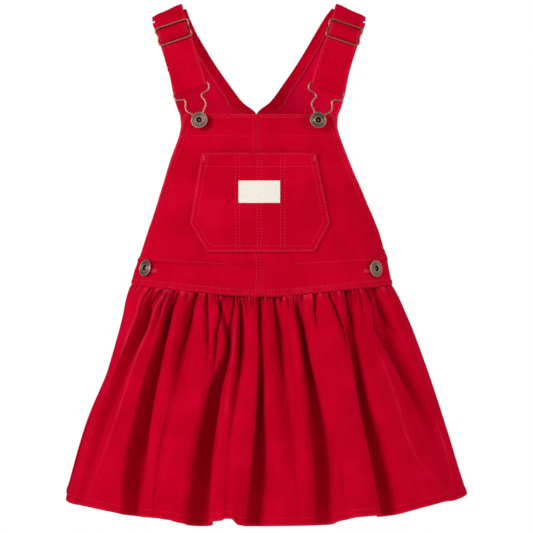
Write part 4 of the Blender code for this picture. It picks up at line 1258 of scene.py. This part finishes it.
def ring_mesh(name, rings, materials, closed=False):
    """A skin over rings of points. A closed path joins its last ring to its first; an open one gets
    a cap on each end. If the volume inside comes out negative, every face is turned over."""
    count, around = rings.shape[:2]
    index = np.arange(count * around).reshape(count, around)
    path = np.concatenate([index, index[:1]]) if closed else index
    beside = np.roll(path, -1, axis=1)
    skin = np.stack([path[:-1], beside[:-1], beside[1:], path[1:]], -1).reshape(-1, 4)
    groups = [skin] if closed else [skin, index[:1, ::-1], index[-1:]]
    a, b, c, d = (rings.reshape(-1, 3)[skin[:, k]] - rings.mean((0, 1)) for k in range(4))
    if (a * np.cross(b, c)).sum() + (a * np.cross(c, d)).sum() < 0:
        groups = [group[:, ::-1] for group in groups]
    return mesh_object(name, rings, groups, materials)


# %% The two straps
STATIONS, ACROSS = 300, 25
LOOK, MID = 60, ACROSS // 2  # a place on the strap's front, where its outside is told from its inside
for name, side in SIDES.items():
    down, lift, _ = STRAP_FRONT.T
    path = np.concatenate([STRAP_OVER_SHOULDER[:, :3] * mirror(side) * MM,
                           in_plane(side, np.stack([0 * down, down, lift], 1))])
    half = np.concatenate([STRAP_OVER_SHOULDER[:, 3], STRAP_FRONT[:, 2]])
    spread = np.concatenate([
        np.tile(unit(SHOULDER_ACROSS) * mirror(side), (len(STRAP_OVER_SHOULDER), 1)),
        np.tile(strap_plane(side)[1][0], (len(down), 1))])
    knots = lengths(path, 0)
    at = np.linspace(0, knots[-1], STATIONS)
    path, spread = catmull(knots, path, at), catmull(knots, spread, at)
    half = np.interp(at, knots, half)
    ahead = unit(np.gradient(path, axis=0))
    spread = unit(spread - (spread * ahead).sum(1, keepdims=True) * ahead)
    rise = np.cross(ahead, spread)
    if rise[LOOK].dot(strap_plane(side)[1][2]) < 0:
        rise = -rise

    share = np.sin(np.linspace(-1, 1, ACROSS) * math.pi / 2)
    length = at[:, None] / MM
    edge = half[:, None] + 0.45 * wander(length, share[None] * 0 + np.sign(share), 2.6, 1.5, 121 + side)
    across = share[None] * edge
    to_edge = edge - np.abs(across)
    thick = STRAP_WALL / 2 * np.sqrt(np.clip(1 - np.abs(share[None]) ** 9, 0, 1))
    thick = thick - 0.34 * bump(to_edge - STRAP_STITCH, 1.0) + 0.10 * bump(to_edge - 1.0, 0.9)
    thick = thick + 0.22 * pucker(to_edge - STRAP_STITCH, length, 3.4, 131 + side) * (to_edge > 0.3)
    thick = thick + 0.4 * wander(across, length, 12, 17, 137)
    middle = path[:, None] + spread[:, None] * (across * MM)[..., None]
    puff = rise[:, None] * (np.maximum(thick, 0.0) * MM)[..., None]
    upper, lower = middle + puff, middle - puff
    rings = np.concatenate([upper, lower[:, -2:0:-1]], axis=1)
    made = ring_mesh("strap_cloth_" + name, rings, [corduroy])
    around = np.concatenate([across, across[:, -2:0:-1]], axis=1) * MM
    set_map(made, around, np.broadcast_to(at[:, None], around.shape))
    pale = 0.3 * bump(to_edge - 0.2, 0.9) * patchy(length, across, 139, 2.5)
    pale = np.concatenate([pale, pale[:, -2:0:-1]], axis=1)
    paint(made, "wear_and_painted_light", pale)
    stands_for(made, "strap_" + name, flat=(0.032, round(float(knots[-1]), 3)), held="stretched",
               rests_on=["slider_wire_" + name, "hook_wire_" + name])
    here = upper[LOOK, MID]
    outward = np.cross(upper[LOOK + 1, MID] - here, upper[LOOK, MID + 1] - here)
    face = upper if outward.dot(rise[LOOK]) > 0 else upper[:, ::-1]
    shown = np.flatnonzero((at / MM > STRAP_SEWN_FROM) & (at / MM < STRAP_SEWN_TO))
    for from_left in (True, False):
        columns = columns_in(lengths(face, 1) / MM, STRAP_STITCH, from_left)
        sew("strap", face, shown, columns[shown])
    print("strap", name, "length", round(float(knots[-1]), 4))

# %% [markdown]
# ## Hooks and sliders
# Both are bent from round wire, and each is a flat loop in the strap's plane. The tables give half
# of the hook, or a quarter of the slider, and mirror images make the rest. A circle swept along the
# loop makes the wire. The slider's bar is clamped where its frame is pinched.

# %% Wire loops
WIRE, SLIDER_BAR, FRAME_LIFT = 0.85, 0.95, 4.4
HOOK_POINTS, SLIDER_POINTS, WIRE_SIDES, BAR_SIDES = 260, 180, 14, 20
BAR_END = ((0, 0.5), (0.4, 0.9), (1.2, 1.0))  # in from the end, and share of the radius there
HOOK = np.array([
    # across, down from the button's centre
    (0, -36.4), (14.4, -36.4), (17, -35.5), (18, -32.4), (16.2, -28.6), (12, -27.3),
    (9, -26.2), (8.2, -23.8), (9.4, -20.8), (10.2, -17.4), (9.3, -14), (6.8, -11),
    (4.6, -7.6), (3.7, -3.6), (3.7, 0), (2.6, 2.7), (0, 3.8),
])
SLIDER = np.array([
    # across, down
    (0, 9), (7, 9), (12.6, 9), (15.4, 8.5), (16.7, 7.1), (16.8, 5), (16, 2.2),
    (15.5, 0),
])


def round_loop(corners, count):
    """A smooth closed loop through the corners, as evenly spaced points."""
    ring = np.concatenate([corners[-3:], corners, corners[:4]])
    knots = lengths(ring, 0)
    start, end = knots[3], knots[3 + len(corners)]
    return catmull(knots, ring, np.linspace(start, end, count, endpoint=False))


def wire(name, side, across, down, lift):
    """A flat closed loop of wire: each ring is its radius times the cosine of its turn in the loop's
    plane, square to the path, plus its radius times the sine of its turn out of the plane."""
    path = in_plane(side, np.stack([across, down, 0 * down + lift], 1))
    ahead = unit(np.roll(path, -1, axis=0) - np.roll(path, 1, axis=0))
    out = strap_plane(side)[1][2]
    aside = np.cross(ahead, out)
    turn = full_turn(WIRE_SIDES)[None, :, None]
    rings = path[:, None] + WIRE * MM * (aside[:, None] * np.cos(turn) + out * np.sin(turn))
    return ring_mesh(name, rings, [wire_copper], closed=True)


reach = np.linalg.norm(BUTTON_NECK - SLIDER_CENTRE)
for name, side in SIDES.items():
    across, down = round_loop(np.concatenate([HOOK, HOOK[-2:0:-1] * (-1, 1)]), HOOK_POINTS).T
    stands_for(wire("hook_wire_" + name, side, across, reach + down, 0), "hook_" + name, "copper")
    loop = np.concatenate([SLIDER, SLIDER[-2:0:-1] * (1, -1), SLIDER[:-1] * (-1, -1),
                           SLIDER[:0:-1] * (-1, 1)])
    across, down = round_loop(loop, SLIDER_POINTS).T
    made = wire("slider_wire_" + name, side, across, down, FRAME_LIFT)
    stands_for(made, "slider_" + name, "copper")
    turn = full_turn(BAR_SIDES)
    circle = np.stack([0 * turn, np.cos(turn), np.sin(turn)], 1)
    end = SLIDER[-1, 0] - WIRE - 0.1
    bar = [(inset - end, size) for inset, size in BAR_END]
    bar += [(end - inset, size) for inset, size in BAR_END[::-1]]
    rings = np.array([in_plane(side, circle * SLIDER_BAR * size + (place, 0, FRAME_LIFT))
                      for place, size in bar])
    made = ring_mesh("slider_rod_" + name, rings, [wire_copper])
    stands_for(made, "slider_bar_" + name, "copper")
print("wire loops:", len(SIDES) * 2)

# %% [markdown]
# ## Tack buttons
# A tack button is a pressed shell on a neck. Its face has a rolled rim, a shallow dish with plain
# turned rings, a raised collar and a dark hole with the tack's tip in it. It is a profile spun round
# the button's axis, which follows the cloth under it.

# %% Turned buttons
BUTTON_PROFILE = np.array([
    # radius, rise above the head's underside
    (0.02, -1), (2, -1), (2.1, -0.6), (2.1, -0.05), (5.5, 0), (7.2, 0.2), (7.8, 0.5),
    (8.1, 1), (8.05, 1.45), (7.75, 1.8), (7.35, 1.95), (6.95, 1.85), (6.7, 1.55), (6.5, 1.35),
    (6.25, 1.42), (6.05, 1.62), (5.85, 1.66), (5.6, 1.5), (5.4, 1.52), (5.15, 1.78), (4.9, 1.84),
    (4.65, 1.7), (4.45, 1.74), (4.2, 2.02), (3.85, 2.34), (3.45, 2.44), (3.05, 2.34), (2.75, 2.02),
    (2.55, 1.4), (2.4, 0.9), (2.2, 0.62), (1.35, 0.55), (1.1, 0.62), (0.95, 1), (0.6, 1.25),
    (0.02, 1.32),
])
TARNISH_AND_PAINTED_SHADE = [
    # radius, how dark the plating is painted there, as shade in the hole and as tarnish and shade in the
    # grooves
    (0, 0), (0.7, 0.1), (1, 0.9), (2.5, 1), (2.8, 0.35), (3.5, 0), (4.2, 0.2), (4.5, 0.6),
    (4.9, 0.1), (5.4, 0.6), (5.9, 0.15), (6.5, 0.6), (7.1, 0), (8.1, 0),
]
BIB_BUTTON = (-56.2, -107.4)
SIDE_BUTTON = {-1: (-112.2, -250.7), 1: (-109.1, -250.7)}  # as if each were on the left
SEATS = {"bib": (0.3, 4.6), "side": (-1.8, 3.4)}  # the neck's foot above the cloth, and its length
BUTTON_SIDES = 72


def front_place(side, place):
    """A point on the bib's outer face, and the outward direction there."""
    height = place[1] + np.array([1.0, 0.0, -1.0])
    across = np.full(3, -side * place[0])
    patch = front_points(height, across - 1, across + 1, 3)
    return patch[1, 1], outward_of(patch)[1, 1]


def turned(name, seat, out, neck):
    """The profile spun round the axis: each ring is its radius times the cosine and sine of the
    turn, on two directions square to the axis, at its rise along it."""
    radius, rise = BUTTON_PROFILE.T
    rise = np.where(rise < -0.9, 0.0, rise + neck)
    first = unit(np.cross(out, (0, 0, 1)))
    second = np.cross(out, first)
    turn = full_turn(BUTTON_SIDES)[None, :, None]
    rings = seat + MM * (rise[:, None, None] * out + radius[:, None, None]
                         * (first * np.cos(turn) + second * np.sin(turn)))
    made = ring_mesh(name, rings, [button_copper])
    # The hole is painted near black as shade; the grooves between the rings are darkened as tarnish and
    # painted shade.
    dark = np.interp(BUTTON_PROFILE[:, 0][::-1], *zip(*TARNISH_AND_PAINTED_SHADE))[::-1]
    paint(made, "tarnish_and_painted_shade", np.repeat(dark, rings.shape[1]))
    return made


for name, side in SIDES.items():
    for kind, place in (("bib", BIB_BUTTON), ("side", SIDE_BUTTON[side])):
        gap, neck = SEATS[kind]
        seat, out = front_place(side, place)
        made = turned(kind + "_tack_button_" + name, seat + out * gap * MM, out, neck)
        stands_for(made, kind + "_button_" + name, "copper")
print("buttons:", len(BUTTON_PROFILE), "rings each")

# %% [markdown]
# ## Buttonholes and bar tacks
# A buttonhole is a slit bound with satin stitches, which lie side by side across it. A bar tack is a
# few of the same at a pocket's corner. Both are pairs of short thread lines on the finished cloth.

# %% Satin stitches, in millimetres
SATIN_STEP, SLIT, SATIN_LEAN = 0.62, ((0.15, 1.5), (-1.5, -0.15)), 0.3
HOLE_FROM, HOLE_TO, HOLE_HEIGHT, HOLE_SHIFT = 100.8, 107.6, -251.7, 1.5
TACK_OUT, TACK_DOWN, TACK_LENGTH, TACK_WIDTH = 53.0, 2.2, 4.4, 1.9
satin = []


def satin_line(grid, x_from, x_to, z_from, z_to):
    """One straight stitch between two places, seen from the front, lying on the grid."""
    x, z = np.linspace(x_from, x_to, 3), np.linspace(z_from, z_to, 3)
    satin.append(line_on(grid, *find_on(grid, x * MM, z * MM)))


for name, side in SIDES.items():
    for place in np.arange(HOLE_FROM, HOLE_TO, SATIN_STEP):
        for low, high in SLIT:
            x_from, x_to = (at * side + HOLE_SHIFT for at in (place, place + SATIN_LEAN))
            satin_line(front_grids[name], x_from, x_to, HOLE_HEIGHT + low, HOLE_HEIGHT + high)
for side in (-1, 1):
    for place in np.arange(0, TACK_LENGTH, SATIN_STEP):
        x, z = side * TACK_OUT - 0.4, POCKET_EDGE[0, 0] - TACK_DOWN - place
        satin_line(pocket_grid, x, x + TACK_WIDTH, z, z + 0.4)


stitches("satin_thread", satin, length=TACK_WIDTH * MM, gap=0.0, thickness=0.32 * MM)
for kind, lines in seams.items():
    stitches("topstitch_" + kind, lines, thickness=FINE_SEAMS.get(kind, THREAD / MM) * MM)

# %% [markdown]
# ## Floor, light and camera
# The picture is a cut-out on white. A pale floor well below the hem and a white surround stand in
# for the studio, with one large soft light from the upper left and a weaker one from the right. The
# camera is where the photograph was taken from: a little above the neck, looking slightly down.

# %% Floor
FLOOR_HEIGHT, FLOOR_RADIUS, FLOOR_SIDES = -1.3, 9.0, 96
GLOWS_FROM, GLOWS_BY = 0.8, 2.8  # metres from the middle


def studio_white():
    """Matt white under the object, which turns into the surround's own white further out."""
    material = new_material("matt white studio floor")
    place = add_node(material, "TexCoord").outputs["Object"]
    far = add_node(material, "VectorMath", {0: place, 1: (1, 1, 0)}, operation="MULTIPLY")
    far = add_node(material, "VectorMath", {0: far.outputs[0]}, operation="LENGTH").outputs["Value"]
    share = add_node(material, "MapRange", {"Value": far, "From Min": GLOWS_FROM, "From Max": GLOWS_BY},
                     interpolation_type="SMOOTHSTEP").outputs[0]
    near = add_node(material, "BsdfDiffuse", {"Color": srgb("FAFAFA")}).outputs[0]
    away = add_node(material, "Emission", {"Color": (1, 1, 1, 1), "Strength": 1.0}).outputs[0]
    return finished(material, add_node(material, "MixShader", {0: share, 1: near, 2: away}))


turn = full_turn(FLOOR_SIDES)
points = np.stack([FLOOR_RADIUS * np.cos(turn), FLOOR_RADIUS * np.sin(turn), 0 * turn + FLOOR_HEIGHT], 1)
floor = mesh_object("studio_floor", points, [np.arange(FLOOR_SIDES)[None]], [studio_white()])

# %% Light
LIGHT_OF_ROOM, DRESS_MIDDLE = 0.34, (0, 0, -0.28)
world = emptied(bpy.data.worlds.new("white studio"))
bpy.context.scene.world = world
ray = add_node(world, "LightPath").outputs["Is Camera Ray"]
room, backdrop = (add_node(world, "Background", {"Color": (1, 1, 1, 1), "Strength": strength})
                  for strength in (LIGHT_OF_ROOM, 1.0))
choose = add_node(world, "MixShader", {0: ray, 1: room.outputs[0], 2: backdrop.outputs[0]})
add_node(world, "OutputWorld", {"Surface": choose.outputs[0]})


def aim(thing, place, target):
    """Puts a light or the camera at a place and turns its -Z axis to the target."""
    thing.location = place
    direction = np.asarray(target, float) - np.asarray(place, float)
    flat = math.hypot(direction[0], direction[1])
    thing.rotation_euler = (math.atan2(flat, -direction[2]), 0, math.atan2(-direction[0], direction[1]))


def soft_light(name, place, size, watts):
    """A round area light aimed at the middle of the dress."""
    data = bpy.data.lights.new(name, "AREA")
    data.shape, data.size, data.energy = "DISK", size, watts
    aim(placed(name, data), place, DRESS_MIDDLE)


soft_light("key", (-2.1, -2.0, 1.0), 1.2, 63)
soft_light("fill", (2.5, -1.2, 0.3), 1.8, 29)

# %% Camera
LOOKS_DOWN, LENS, EYE_ACROSS = 5.3, 122.0, 7.5  # degrees, and millimetres
camera = placed("camera", bpy.data.cameras.new("camera"))
camera.location = (EYE_ACROSS * MM, -EYE_DISTANCE * MM, EYE_HEIGHT * MM)
camera.rotation_euler = (math.radians(90 - LOOKS_DOWN), 0, 0)
camera.data.sensor_width, camera.data.lens = 36.0, LENS
bpy.context.scene.camera = camera
bpy.context.scene.view_settings.view_transform = "Standard"
